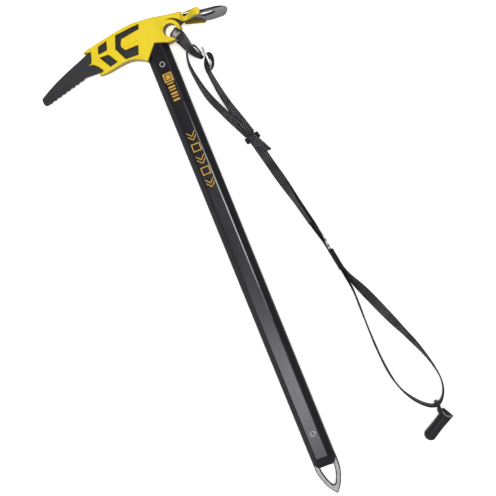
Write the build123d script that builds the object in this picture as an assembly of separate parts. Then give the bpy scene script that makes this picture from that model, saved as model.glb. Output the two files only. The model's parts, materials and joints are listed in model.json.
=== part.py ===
from build123d import *
import math
import os

# Ice axe with its leash, in millimetres.
# Bench frame of the axe: X towards the adze, Y up the shaft to the head, Z through its thickness,
# with the origin on the shaft's axis. The rest transform then lays the axe on the ground (Z = 0),
# on the adze side's far corner, the pick's tip and the shaft's lower end, with the leash beside it.

# ---- driving dimensions ----
ROLL = 6.7               # degrees, the adze side of the head is raised
PITCH = 1.02             # degrees, the head end is raised
PLATE = 5.0              # head plate thickness
SHAFT_WIDTH = 32.5
SHAFT_DEPTH = 21.0
SHAFT_FLAT = 14.4        # width of the flat on the near and far side
SHAFT_SIDE = 7.0         # height of the narrow side face
SHAFT_WALL = 1.8
SHAFT_TOP = 26.0
SHAFT_END = -548.0
HEAD_RIVET_Y = -3.5
SPIKE_RIVET_Y = -514.5
RIVET_BORE = 2.2
RIVET_SHANK = 3.0
RIVET_FLANGE = 4.0
HOLE_X, HOLE_Y, HOLE_R = 25.6, 33.1, 8.6
BOSS_R = 13.7            # outer radius of the cover's ring about the hole
COVER_GAP = 0.3
ADZE_HALF = 28.5         # half the adze's width
ADZE_RISE = 3.0          # how far its middle stands above its edges
ADZE_THICK = 3.0
ADZE_SLOPE = -9.3        # degrees
ADZE_END = 103.3
SPIKE_THICK = 4.0
SPIKE_TIP = -600.6
WEB_WIDTH = 12.0         # leash webbing
WEB_THICK = 1.8
RING_WIRE = 1.3          # radius of the steel ring's wire
CAP_LENGTH = 44.5
CAP_R = 8.2
CAP_BORE = 5.5
CAP_DEPTH = 32.0

os.makedirs("parts", exist_ok=True)


# ---- the row frame ----
def tilt(shape):
    """Turns a bench-frame solid to the way the axe lies."""
    return Rot(PITCH, 0, 0) * (Rot(0, -ROLL, 0) * shape)


def prism(outline, low, high):
    """An XY face made solid between two heights."""
    return extrude(Pos(0, 0, low) * outline, high - low)


def along_y(outline_xz, low, high):
    """A face drawn as (X, Z) points, made solid between two Y values."""
    face = make_face(Polyline(*[(x, 0, z) for x, z in outline_xz], close=True))
    return Pos(0, low, 0) * extrude(face, high - low, dir=(0, 1, 0))


def rod(x, y, radius, half_length):
    return Pos(x, y, 0) * Cylinder(radius, 2 * half_length)


# ---- shaft ----
def shaft_section(grow=0.0):
    """The faceted outline, as (X, Z) points, made larger or smaller all round."""
    half, deep = SHAFT_WIDTH / 2 + grow, SHAFT_DEPTH / 2 + grow
    flat, side = SHAFT_FLAT / 2 + 0.4 * grow, SHAFT_SIDE / 2 + 0.3 * grow
    quarter = [(flat, deep), (half - 1.2, side + 0.9), (half, side - 1.2)]
    right = quarter + [(x, -z) for x, z in reversed(quarter)]
    return right + [(-x, z) for x, z in reversed(right)]


def shaft_tube():
    tube = along_y(shaft_section(), SHAFT_END, SHAFT_TOP) - along_y(
        shaft_section(-SHAFT_WALL), SHAFT_END - 1, SHAFT_TOP + 1)
    tube -= Pos(0, 18.5, 0) * Box(2 * SHAFT_WIDTH, 17, PLATE + 0.1)
    for y in (HEAD_RIVET_Y, SPIKE_RIVET_Y):
        tube -= rod(0, y, RIVET_SHANK + 0.05, SHAFT_DEPTH)
    return tube


# ---- head ----
def pick_teeth(count=8, start=-158.0, pitch=7.1):
    """Shallow hooked teeth under the pick: each has a level foot and a rounded step behind it."""
    points = []
    for i in range(count):
        x = start + i * pitch
        y = 9.0 + 0.216 * (x - start)
        points += [(x, y), (x + 0.52 * pitch, y + 0.25), (x + 0.72 * pitch, y + 1.5)]
    return points


def head_outline():
    top = Spline((-164.9, 19.4), (-142.0, 30.1), (-121.4, 37.8), (-100.9, 44.4), (-82.5, 50.2),
                 (-60.0, 53.6), (-35.0, 56.2), (-18.0, 56.8), (0.0, 55.0), (25.0, 51.2), (44.0, 47.6))
    neck = Polyline((44.0, 47.6), (63.0, 42.6), (64.5, 38.6), (44.0, 36.2), (38.3, 34.0))
    boss = ThreePointArc((38.3, 34.0), (HOLE_X + 9.0, HOLE_Y - 9.0), (HOLE_X, HOLE_Y - 12.7))
    tang = Polyline((HOLE_X, HOLE_Y - 12.7), (17.0, 21.0), (11.0, 16.0), (11.0, -42.0),
                    (8.0, -45.0), (-8.0, -45.0), (-11.0, -42.0), (-11.0, 12.0), (-26.0, 18.2))
    belly = Spline((-26.0, 18.2), (-44.0, 20.9), (-62.0, 20.0), (-80.5, 20.3), (-101.0, 21.7))
    teeth = Polyline((-101.0, 21.7), *reversed(pick_teeth()), (-161.6, 8.2))
    tip = Polyline((-161.6, 8.2), (-164.4, 9.3), (-165.6, 12.5), (-165.5, 16.5), (-164.9, 19.4))
    return make_face(Wire([*top.edges(), *neck.edges(), *boss.edges(), *tang.edges(),
                           *belly.edges(), *teeth.edges(), *tip.edges()]))


def head_plate():
    plate = prism(head_outline(), -PLATE / 2, PLATE / 2)
    plate -= rod(HOLE_X, HOLE_Y, HOLE_R, PLATE)
    plate -= rod(0, HEAD_RIVET_Y, RIVET_SHANK + 0.05, PLATE)
    # the pick thins towards its tip, and its edges are ground off
    for side in (1, -1):
        wedge = along_y([(-170, side * 1.5), (-100, side * PLATE / 2), (-100, side * 5), (-170, side * 5)],
                        0, 60)
        plate -= wedge
    return plate


def adze_plan():
    """The adze seen along Y, as an XZ face: a flaring neck, parallel sides and a rounded end."""
    half = ADZE_HALF
    root, flare, straight = 9.0, 72.0, 88.0
    sides = []
    for s in (1, -1):
        sides.append((
            ThreePointArc((47.0, 0, s * root), (60.5, 0, s * 16.3), (flare, 0, s * half)),
            Line((flare, 0, s * half), (straight, 0, s * half)),
            ThreePointArc((straight, 0, s * half), (96.4, 0, s * 25.2), (100.2, 0, s * 17.5)),
        ))
    end = ThreePointArc((100.2, 0, 17.5), (ADZE_END, 0, 0), (100.2, 0, -17.5))
    root_edge = Line((47.0, 0, -root), (47.0, 0, root))
    edges = [*sides[0], end, *sides[1], root_edge]
    return make_face(Wire([e.edge() for e in edges]))


def adze_blade():
    rise, half = ADZE_RISE, ADZE_HALF
    middle = 35.3 + rise
    under = ThreePointArc((0, middle - rise, half), (0, middle, 0), (0, middle - rise, -half))
    over = ThreePointArc((0, middle - rise + ADZE_THICK, half), (0, middle + ADZE_THICK, 0),
                         (0, middle - rise + ADZE_THICK, -half))
    ends = [Line(under @ 0, over @ 0), Line(under @ 1, over @ 1)]
    section = make_face(Wire([under.edge(), over.edge(), ends[0].edge(), ends[1].edge()]))
    slope = math.tan(math.radians(ADZE_SLOPE))
    start = Pos(42.0, (42.0 - 72.0) * slope, 0) * section
    sheet = extrude(start, 66.0, dir=Vector(1, slope, 0))
    blade = sheet & (Pos(0, 20, 0) * extrude(adze_plan(), 40, dir=(0, 1, 0)))
    hole = Polyline((70.5, 0, 7.2), (76.0, 0, 6.6), (84.5, 0, 3.2), (87.0, 0, 0), (84.5, 0, -3.2),
                    (76.0, 0, -6.6), (70.5, 0, -7.2), (68.2, 0, 0), close=True)
    blade -= Pos(0, 20, 0) * extrude(make_face(hole), 40, dir=(0, 1, 0))
    blade -= Box(2 * 64.6, 200, PLATE + 0.02)
    # the cutting end is ground thin from above
    grind = make_face(Polyline((93.0, 36.6), (106.0, 31.2), (106.0, 40.0), (93.0, 40.0), close=True))
    return blade - prism(grind, -40, 40)


# ---- covers ----
FRONT = [(-91.0, 50.4), (-81.5, 48.4), (-84.0, 40.3), (-86.2, 35.6), (-91.0, 33.9), (-84.3, 32.3),
         (-79.5, 27.8), (-75.0, 21.2), (-75.5, 19.6), (-81.5, 18.7), (-81.5, 15.9)]


def cover_outline():
    top = Spline((-91.0, 52.4), (-80.0, 54.4), (-60.0, 56.9), (-35.0, 59.5), (-19.0, 60.0),
                 (0.0, 58.0), (26.0, 54.1), (46.0, 50.6))
    arm = Polyline((46.0, 50.6), (46.0, 36.0), (42.4, 39.0), (38.8, 42.8), (34.5, 45.7),
                   (30.0, 47.2), (25.4, 47.4), (HOLE_X, HOLE_Y + BOSS_R))
    ring = ThreePointArc((HOLE_X, HOLE_Y + BOSS_R), (HOLE_X + BOSS_R, HOLE_Y),
                         (HOLE_X, HOLE_Y - BOSS_R))
    low_right = Polyline((HOLE_X, HOLE_Y - BOSS_R), (17.9, 19.0), (1.2, 24.8), (-14.9, 7.6), (-16.9, 8.2))
    belly = Spline((-16.9, 8.2), (-24.8, 13.6), (-37.1, 17.9), (-51.2, 17.6), (-63.3, 16.1),
                   (-71.4, 15.3), (-81.5, 15.9))
    front = Polyline(*reversed(FRONT), (-91.0, 52.4))
    return make_face(Wire([*top.edges(), *arm.edges(), *ring.edges(), *low_right.edges(),
                           *belly.edges(), *front.edges()]))


WINDOW_FRONT_UP = [(-69.4, 50.5), (-56.5, 53.0), (-59.6, 43.3), (-60.6, 42.0), (-72.6, 41.6)]
WINDOW_FRONT_LOW = [(-72.9, 37.2), (-60.4, 35.8), (-58.6, 33.0), (-52.8, 22.9), (-63.6, 21.2)]
WINDOW_MIDDLE = [(-42.4, 54.6), (-9.1, 55.2), (-10.9, 49.4), (-37.1, 47.1), (-40.9, 40.8),
                 (-40.9, 37.4), (-37.4, 31.9), (-19.1, 30.9), (-23.6, 19.9), (-41.1, 21.6), (-49.0, 38.6)]
SPINE = [(-74.2, 41.6), (-60.6, 42.0), (-60.4, 35.8), (-74.2, 37.2)]


def finger():
    """The cover's arm along one edge of the adze's neck, ending in a round knob."""
    side = make_face(Polyline((45.0, 47.4), (58.0, 43.9), (67.0, 41.4), (70.5, 36.8), (67.0, 32.6),
                              (54.0, 33.9), (45.0, 35.6), close=True))
    side -= make_face(Polyline((47.6, 45.3), (59.0, 41.9), (48.6, 40.4), close=True))
    side += Pos(67.0, 36.9) * Circle(4.9)
    strip = along_y([(44.0, 6.8), (50.0, 11.4), (56.0, 15.0), (61.5, 19.0), (66.0, 23.0), (72.4, 29.9),
                     (70.6, 31.0), (66.0, 30.5), (60.5, 25.0), (53.0, 16.2), (44.0, 10.0)], 20, 60)
    return prism(side, 2, 34) & strip


def cover_near():
    outside = along_y([(-95, 0), (-95, 5.6), (-60, 8.0), (-32, 11.2), (-20, 12.9), (11, 12.9),
                       (20, 9.0), (30, 6.8), (50, 6.8), (50, 0)], 0, 70)
    body = prism(cover_outline(), 0, 14) & outside
    for window in (WINDOW_FRONT_UP, WINDOW_FRONT_LOW, WINDOW_MIDDLE):
        body -= prism(make_face(Polyline(*window, close=True)), PLATE / 2, 15)
    body -= prism(make_face(Polyline(*SPINE, close=True)), PLATE / 2 + 3.2, 15)
    ring = Pos(HOLE_X, HOLE_Y, 0) * (Cylinder(BOSS_R, 16) - Cylinder(HOLE_R, 18))
    body += ring & Pos(0, 0, 4.1) * Box(200, 200, 8.2)
    body += finger()
    body -= rod(HOLE_X, HOLE_Y, HOLE_R, 20)
    body -= along_y(shaft_section(COVER_GAP), -60, SHAFT_TOP + COVER_GAP)
    body -= prism(head_outline(), -PLATE / 2, PLATE / 2)
    return body.solids().sort_by(SortBy.VOLUME)[-1]


# ---- fillers and rivets ----
def head_spacer(side):
    """A moulded filler between the tang and one wall of the tube."""
    filler = along_y(shaft_section(-SHAFT_WALL - 0.05), -45.0, 9.5)
    filler -= Box(80, 200, PLATE + 0.1)
    filler -= rod(0, HEAD_RIVET_Y, RIVET_SHANK + 0.05, SHAFT_DEPTH)
    return filler & (Pos(0, 0, side * 50) * Box(200, 400, 100))


def hollow_rivet(y):
    half = SHAFT_DEPTH / 2
    body = Cylinder(RIVET_SHANK, 2 * half)
    for side in (1, -1):
        body += Pos(0, 0, side * (half + 0.45)) * Cylinder(RIVET_FLANGE, 0.9)
    body = chamfer(body.edges().filter_by(GeomType.CIRCLE).group_by(Axis.Z)[-1], 0.4)
    body = chamfer(body.edges().filter_by(GeomType.CIRCLE).group_by(Axis.Z)[0], 0.4)
    return Pos(0, y, 0) * (body - Cylinder(RIVET_BORE, 3 * half))


# ---- lower end ----
def end_plug():
    """Black moulded plug: a stem inside the tube and a sloped collar below it."""
    stem = along_y(shaft_section(-SHAFT_WALL - 0.05), -548.0, -500.0)
    top = Plane((0, -548.0, 0), x_dir=(1, 0, 0), z_dir=(0, -1, 0))
    big = [(x, -z) for x, z in shaft_section(-0.15)]
    outline = make_face(Polyline(*big, close=True))
    collar = extrude(top * outline, 12.2)
    side = make_face(Polyline((-16.4, -547.9), (16.4, -547.9), (16.4, -552.9), (9.8, -560.2),
                              (-9.8, -560.2), (-16.4, -552.9), close=True))
    slope = make_face(Polyline((0, -547.9, 10.4), (0, -560.2, 3.4), (0, -560.2, -3.4),
                               (0, -547.9, -10.4), close=True))
    collar = collar & prism(side, -20, 20)
    collar = collar & (Pos(-30, 0, 0) * extrude(slope, 60, dir=(1, 0, 0)))
    plug = stem + collar
    plug -= prism(make_face(Polyline((-11.1, -499), (11.1, -499), (11.1, -553.4), (17, -553.4), (17, -562),
                                     (-17, -562), (-17, -553.4), (-11.1, -553.4), close=True)),
                  -SPIKE_THICK / 2 - 0.02, SPIKE_THICK / 2 + 0.02)
    return plug - rod(0, SPIKE_RIVET_Y, RIVET_SHANK + 0.05, SHAFT_DEPTH)


def spike_blade():
    half = SHAFT_WIDTH / 2
    right = Spline((half, -562.0), (15.0, -572.5), (12.2, -581.0), (7.9, -590.8), (1.3, -600.2),
                   tangents=((0.03, -1), (-0.6, -0.8)))
    left = Spline((-1.3, -600.2), (-7.9, -590.8), (-12.2, -581.0), (-15.0, -572.5), (-half, -562.0),
                  tangents=((-0.6, 0.8), (0.03, 1)))
    tip = ThreePointArc((1.3, -600.2), (0, SPIKE_TIP), (-1.3, -600.2))
    tang = Polyline((-half, -562.0), (-half, -553.5), (-11.0, -553.5), (-11.0, -503.0), (-8.0, -500.0),
                    (8.0, -500.0), (11.0, -503.0), (11.0, -553.5), (half, -553.5), (half, -562.0))
    face = make_face(Wire([*right.edges(), *tip.edges(), *left.edges(), *tang.edges()]))
    top = Line((-9.4, -561.2), (9.4, -561.2))
    hole_right = Spline((9.4, -561.2), (9.2, -566.0), (7.6, -573.5), (4.6, -582.5), (0, -588.2),
                        tangents=((0.1, -1), (-1, 0)))
    hole_left = Spline((0, -588.2), (-4.6, -582.5), (-7.6, -573.5), (-9.2, -566.0), (-9.4, -561.2),
                       tangents=((-1, 0), (0.1, 1)))
    face -= make_face(Wire([*top.edges(), *hole_right.edges(), *hole_left.edges()]))
    blade = prism(face, -SPIKE_THICK / 2, SPIKE_THICK / 2)
    return blade - rod(0, SPIKE_RIVET_Y, RIVET_SHANK + 0.05, SHAFT_DEPTH)


# ---- leash: every strap lies beside the shaft, on the ground, in the row frame ----
def corner_radii(name, points):
    """0.45 of the shorter run, divided by the tangent of half the turn, for each corner."""
    radii = []
    for a, b, c in zip(points, points[1:], points[2:]):
        before, after = Vector(b) - Vector(a), Vector(c) - Vector(b)
        half_turn = math.radians(before.get_angle(after)) / 2
        radii.append(0.45 * min(before.length, after.length) / math.tan(half_turn))
    print(name, "radii", " ".join(f"{r:.0f}" for r in radii))
    return radii


def ribbon(name, points, across, tall, low):
    """A strap of straight runs and tangent arcs: across is its width on the ground."""
    raised = [(x, y, low + tall / 2) for x, y in points]
    path = FilletPolyline(*raised, radius=corner_radii(name, raised))
    start = Plane(origin=path @ 0, x_dir=(0, 0, 1), z_dir=path % 0)
    strap = sweep(start * Rectangle(tall, across), path)
    length = path.length
    print(name, f"length {length:.1f} volume {strap.volume / (across * tall * length):.4f} of section x length")
    return strap


def beside(points, offset):
    """The same line moved sideways, for the second of two straps that lie together."""
    moved = []
    for i, (x, y) in enumerate(points):
        a, b = points[max(i - 1, 0)], points[min(i + 1, len(points) - 1)]
        dx, dy = b[0] - a[0], b[1] - a[1]
        size = math.hypot(dx, dy)
        moved.append((x - dy / size * offset, y + dx / size * offset))
    return moved


LEFT_STRAND = [(65.0, 274.8), (62.7, 267.6), (61.5, 258.8), (62.2, 247.2), (64.0, 235.0), (66.8, 219.5),
               (71.2, 204.8), (77.2, 191.0), (84.4, 175.0), (92.5, 160.0), (99.8, 144.8)]
RIGHT_STRAND = [(82.0, 240.2), (83.4, 229.1), (85.3, 215.0), (88.0, 200.5), (91.6, 184.3), (96.4, 166.8),
                (102.4, 145.2)]
STRAP_EYE = [(82.6, 242.8), (81.6, 249.6), (83.5, 256.6), (87.5, 261.6), (91.7, 261.0), (93.6, 255.6),
             (92.9, 248.6), (89.8, 242.8), (85.0, 240.8)]
MAIN_STRAP = [(101.2, 144.4), (127.9, 31.0), (133.6, 8.0)]
KEEPER_AT = (144.2, -48.7)
KEEPER_LENGTH = 29.0
STRAND_GAP = 1.25        # half the spacing of the two straps inside the keeper
PAIRED = [(134.0, 6.2), (138.2, -16.0), (141.6, -34.0), (148.0, -71.0)]
OUTER_STRAND = [(158.8, -93.3), (168.0, -115.3), (177.6, -139.6), (186.2, -160.7), (193.9, -178.7),
                (200.4, -195.2), (205.8, -211.8), (210.1, -228.9), (212.0, -244.0), (210.0, -256.7),
                (205.0, -266.8), (197.5, -273.2), (188.5, -273.6), (179.4, -267.6)]
INNER_STRAND = [(170.4, -258.0), (162.9, -247.0), (156.9, -234.4), (152.5, -218.0), (149.7, -195.6),
                (148.5, -168.7), (148.6, -139.9), (149.2, -114.8), (149.3, -91.0)]
BUCKLE_AT = (102.4, 139.2)
STRAP_ANGLE = -76.7      # degrees, the direction of the main strap on the ground
KEEPER_ANGLE = -80.3
SLING_ANGLE = -57.7
SLING_START = (57.8, 301.0)
RING_AT = (86.6, 258.7, 9.2)
MOUTH_AT = (204.0, -287.7)
CAP_ANGLE = 209.2
TAB_AT = (194.6, -272.6)


def wrist_loop():
    right = beside(PAIRED, STRAND_GAP)
    left = list(reversed(beside(PAIRED, -STRAND_GAP)))
    return ribbon("wrist_loop", right + OUTER_STRAND + INNER_STRAND + left, WEB_THICK, WEB_WIDTH, 1.6)


def sling_band():
    """A sewn loop of webbing through the hole in the head, seen here from its side as (S, Z)."""
    centre = Polyline((0, 15.4), (0, 33.2), (1.6, 36.6), (6.0, 37.6), (12.0, 36.2), (24.0, 21.5),
                      (38.0, 7.0), (45.5, 3.6), (45.0, 1.4), (24.0, 2.0), (10.0, 9.5), (2.0, 13.4),
                      close=True)
    outer = make_face(offset(centre, WEB_THICK / 2, kind=Kind.ARC).wires().sort_by(SortBy.LENGTH)[-1])
    inner = make_face(offset(centre, -WEB_THICK / 2, kind=Kind.ARC).wires().sort_by(SortBy.LENGTH)[-1])
    band = extrude(outer - inner, WEB_WIDTH / 2 + 0.6, both=True)
    side_on = Plane(origin=(*SLING_START, 0), x_dir=(math.cos(math.radians(SLING_ANGLE)),
                    math.sin(math.radians(SLING_ANGLE)), 0),
                    z_dir=(math.cos(math.radians(SLING_ANGLE - 90)),
                           math.sin(math.radians(SLING_ANGLE - 90)), 0))
    return side_on * band


def link_ring():
    """An oval steel ring standing on edge between the sling and the strap's eye."""
    path = SlotOverall(27.4, 15.2).wire()
    start = Plane(origin=path @ 0, z_dir=path % 0)
    ring = sweep(start * Circle(RING_WIRE), path)
    return Pos(*RING_AT) * Rot(0, 0, -88) * Rot(90, 0, 0) * ring


def frame_at(place, angle):
    """X across the strap, Y along it, Z up."""
    return Pos(place[0], place[1], 0) * Rot(0, 0, angle + 90)


def adjuster_buckle():
    """A sliding frame: two side rails, a bar under the straps and a bar over them."""
    rails = Pos(0, 0, 3.75) * Box(20.2, 8.4, 7.3) - Pos(0, 0, 3.65) * Box(13.2, 10, 4.5)
    rails = fillet(rails.edges().filter_by(Axis.Z), 1.6)
    return frame_at(BUCKLE_AT, STRAP_ANGLE) * rails


def keeper_sleeve():
    sleeve = Pos(0, 0, 7.6) * (Box(6.8, KEEPER_LENGTH, 15.0) - Box(5.0, KEEPER_LENGTH + 2, 13.0))
    return frame_at(KEEPER_AT, KEEPER_ANGLE) * sleeve


def wrist_label():
    tag = Pos(2.75, 0, 7.6) * Box(0.5, 22.0, 8.5)
    return frame_at((140.4, -21.6), -79.2) * tag


def cap_directions():
    """Along the cap from its mouth, and from its side towards the tab, on the ground."""
    a = math.radians(CAP_ANGLE)
    return (math.cos(a), math.sin(a)), (math.sin(a), -math.cos(a))


def cap_hinge():
    """Where the cap's neck flexes: beside the mouth, on the tab's side."""
    along, out = cap_directions()
    return Vector(MOUTH_AT[0] + 5 * along[0] + 8.6 * out[0], MOUTH_AT[1] + 5 * along[1] + 8.6 * out[1], CAP_R)


def cap_tab():
    """A moulded loop about the strap, with a neck that reaches the cap's mouth."""
    loop = Pos(0, 0, 7.7) * (Box(4.6, 8.6, 15.2) - Box(6, 4.6, 12.8))
    neck = make_face(Polyline((-2.3, -4.0), (2.3, -4.0), (4.6, -10.1), (-0.8, -8.8), close=True))
    tab = loop + Pos(0, 0, 3.6) * extrude(neck, 9.0)
    tab = Pos(TAB_AT[0], TAB_AT[1], 0) * Rot(0, 0, -4) * tab
    along, out = cap_directions()
    hinge = Axis(cap_hinge(), Vector(*out, 0))
    clear = Plane(origin=(MOUTH_AT[0], MOUTH_AT[1], CAP_R), z_dir=(*along, 0)) * extrude(Circle(CAP_R + 0.5), 40)
    for turn in range(0, 91, 15):
        tab -= clear.rotate(hinge, turn)
    return tab.solids().sort_by(SortBy.VOLUME)[-1]


def point_cap():
    """A rubber cap for a point, closed at its far end."""
    body = Cylinder(CAP_R, CAP_LENGTH, align=(Align.CENTER, Align.CENTER, Align.MIN))
    body = fillet(body.edges().filter_by(GeomType.CIRCLE).sort_by(Axis.Z)[-1], 6.2)
    body -= Cylinder(CAP_BORE, CAP_DEPTH, align=(Align.CENTER, Align.CENTER, Align.MIN))
    along, _ = cap_directions()
    return Plane(origin=(MOUTH_AT[0], MOUTH_AT[1], CAP_R + 0.05), z_dir=(*along, 0)) * body


def strap_tail():
    blade = make_face(Polyline((-5.6, 4), (5.6, 4), (5.6, -22.0), (-5.6, -17.5), close=True))
    tail = frame_at((107.4, 134.6), -63.0) * (Pos(0, 0, 5.9) * extrude(blade, 1.6))
    tail -= frame_at(BUCKLE_AT, STRAP_ANGLE) * (Pos(0, 10, 0) * Box(60, 28.6, 40))
    return tail


# ---- assembly ----
axe = {
    "head_plate": head_plate(),
    "adze_blade": adze_blade(),
    "cover_near": cover_near(),
    "shaft_tube": shaft_tube(),
    "head_spacer_near": head_spacer(1),
    "head_spacer_far": head_spacer(-1),
    "head_rivet": hollow_rivet(HEAD_RIVET_Y),
    "end_plug": end_plug(),
    "spike_blade": spike_blade(),
    "spike_rivet": hollow_rivet(SPIKE_RIVET_Y),
}
axe["cover_far"] = mirror(axe["cover_near"], Plane.XY)
axe = {name: tilt(solid) for name, solid in axe.items()}
box = Compound(children=[Compound(s.solids()) for s in axe.values()]).bounding_box()
REST = Pos(-box.center().X, -box.center().Y, -box.min.Z)
axe = {name: REST * solid for name, solid in axe.items()}


def rest_point(x, y, z=0.0):
    """Where a bench-frame point lies in the row frame."""
    return (REST * (Rot(PITCH, 0, 0) * (Rot(0, -ROLL, 0) * Pos(x, y, z)))).position


leash = {
    "sling_band": sling_band(),
    "link_ring": link_ring(),
    "strap_left": ribbon("strap_left", LEFT_STRAND, WEB_THICK, WEB_WIDTH, 0.4),
    "strap_right": ribbon("strap_right", RIGHT_STRAND, WEB_THICK, WEB_WIDTH, 0.4),
    "strap_eye": ribbon("strap_eye", STRAP_EYE, WEB_THICK, 11.0, 3.5),
    "strap_under": ribbon("strap_under", MAIN_STRAP, WEB_WIDTH, WEB_THICK, 1.6),
    "strap_over": ribbon("strap_over", MAIN_STRAP, WEB_WIDTH, WEB_THICK, 3.7),
    "adjuster_buckle": adjuster_buckle(),
    "strap_tail": strap_tail(),
    "wrist_label": wrist_label(),
    "keeper_sleeve": keeper_sleeve(),
    "wrist_loop": wrist_loop(),
    "cap_tab": cap_tab(),
    "point_cap": point_cap(),
}
print("rest shift", [round(v, 3) for v in REST.position])
for label, point in (("hole", (HOLE_X, HOLE_Y)), ("head rivet", (0, HEAD_RIVET_Y)),
                     ("spike rivet", (0, SPIKE_RIVET_Y))):
    print(label, [round(v, 3) for v in rest_point(*point)])

for name, solid in {**axe, **leash}.items():
    export_step(solid, f"parts/{name}.step")
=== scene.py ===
import json
import math

import bmesh
import bpy
import numpy as np
from mathutils import Matrix, Vector


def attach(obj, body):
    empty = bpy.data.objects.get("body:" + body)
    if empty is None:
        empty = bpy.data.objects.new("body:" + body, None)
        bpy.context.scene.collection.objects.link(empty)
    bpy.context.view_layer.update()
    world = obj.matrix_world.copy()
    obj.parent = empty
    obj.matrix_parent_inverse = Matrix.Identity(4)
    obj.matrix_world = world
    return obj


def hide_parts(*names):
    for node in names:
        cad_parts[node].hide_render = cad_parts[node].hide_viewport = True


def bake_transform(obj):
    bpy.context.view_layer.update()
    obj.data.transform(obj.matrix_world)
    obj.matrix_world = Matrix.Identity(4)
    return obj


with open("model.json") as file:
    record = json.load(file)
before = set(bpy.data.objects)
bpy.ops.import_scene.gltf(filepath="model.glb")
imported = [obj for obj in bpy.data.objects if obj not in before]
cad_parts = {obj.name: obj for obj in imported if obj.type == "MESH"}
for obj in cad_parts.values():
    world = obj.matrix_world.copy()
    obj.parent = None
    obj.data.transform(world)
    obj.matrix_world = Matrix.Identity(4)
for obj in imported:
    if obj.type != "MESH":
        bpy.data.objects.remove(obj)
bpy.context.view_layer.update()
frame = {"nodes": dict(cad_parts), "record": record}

# ---- The axe as it lies ----
# The axe is built upright on the bench, in millimetres: X towards the adze, Y up the shaft to the
# head, Z through its thickness. Its two hollow rivets carry it from the bench to the ground.
HEAD_RIVET_Y, SPIKE_RIVET_Y = -3.5, -514.5
mounts = {m["name"]: m for m in frame["record"]["mounts"]}
head_rivet_at = Vector(mounts["head_rivet_bore"]["pos_m"])
shaft_up = (head_rivet_at - Vector(mounts["spike_rivet_bore"]["pos_m"])).normalized()
through = Vector(mounts["head_rivet_bore"]["axis"])
lay = Matrix((shaft_up.cross(through), shaft_up, through)).transposed().to_4x4()
lay.translation = head_rivet_at - shaft_up * HEAD_RIVET_Y * 0.001
lay = lay @ Matrix.Scale(0.001, 4)


def piece(name, mesh, material, body, nodes=(), place=lay):
    """A finished mesh in millimetres, laid in place, on its body and standing for its CAD nodes."""
    mesh.transform(place)
    shown = bpy.data.objects.new(name, mesh)
    bpy.context.scene.collection.objects.link(shown)
    if material is not None:
        mesh.materials.append(material)
    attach(shown, body)
    if nodes:
        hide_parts(*nodes)
    return shown


def even_shading(shown, angle=35):
    """Flat faces stay flat to the eye and only the rounded edges shade round."""
    shown.data.shade_smooth()
    shown.data.set_sharp_from_angle(angle=math.radians(angle))
    weighted = shown.modifiers.new("faces_lead", "WEIGHTED_NORMAL")
    weighted.keep_sharp = True


# ---- Head plate: pick, boss and tang ----
# One 5 mm steel plate, laser cut, ground thinner towards the pick's tip and coated charcoal. Its
# tang goes down inside the tube, and the leash's sling passes through its boss.
PLATE = 5.0
HOLE_X, HOLE_Y, HOLE_R = 25.6, 33.1, 8.6
SMOOTH = "smooth"


def traced(corners, steps=7):
    """Points along a closed outline, passing smoothly through the corners that are marked so."""
    line = bpy.data.curves.new("outline", "CURVE")
    spline = line.splines.new("BEZIER")
    spline.bezier_points.add(len(corners) - 1)
    for knot, corner in zip(spline.bezier_points, corners):
        knot.co = (corner[0], corner[1], 0)
        knot.handle_left_type = knot.handle_right_type = "AUTO" if len(corner) > 2 else "VECTOR"
    spline.use_cyclic_u, spline.resolution_u = True, steps
    holder = bpy.data.objects.new("outline", line)
    mesh = bpy.data.meshes.new_from_object(holder)
    points = [(v.co.x, v.co.y) for v in mesh.vertices]
    bpy.data.objects.remove(holder)
    kept = [p for p, q in zip(points, points[1:] + points[:1]) if math.dist(p, q) > 1e-4]
    return kept


def circle(x, y, radius, count=48):
    turns = [2 * math.pi * i / count for i in range(count)]
    return [(x + radius * math.cos(t), y + radius * math.sin(t)) for t in turns]


def cut_plate(name, outlines, thickness, edge, edge_steps=2):
    """Sheet metal cut to its outlines, with rounded or chamfered edges."""
    curve = bpy.data.curves.new(name, "CURVE")
    curve.dimensions, curve.fill_mode = "2D", "BOTH"
    curve.extrude, curve.bevel_depth, curve.offset = thickness / 2 - edge, edge, -edge
    curve.bevel_resolution = edge_steps
    for outline in outlines:
        spline = curve.splines.new("POLY")
        spline.points.add(len(outline) - 1)
        for point, (x, y) in zip(spline.points, outline):
            point.co = (x, y, 0, 1)
        spline.use_cyclic_u = True
    holder = bpy.data.objects.new(name, curve)
    mesh = bpy.data.meshes.new_from_object(holder)
    bpy.data.objects.remove(holder)
    made = bmesh.new()
    made.from_mesh(mesh)
    bmesh.ops.remove_doubles(made, verts=made.verts, dist=0.002)
    bmesh.ops.recalc_face_normals(made, faces=made.faces)
    made.to_mesh(mesh)
    made.free()
    mesh.materials.clear()
    return mesh


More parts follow.
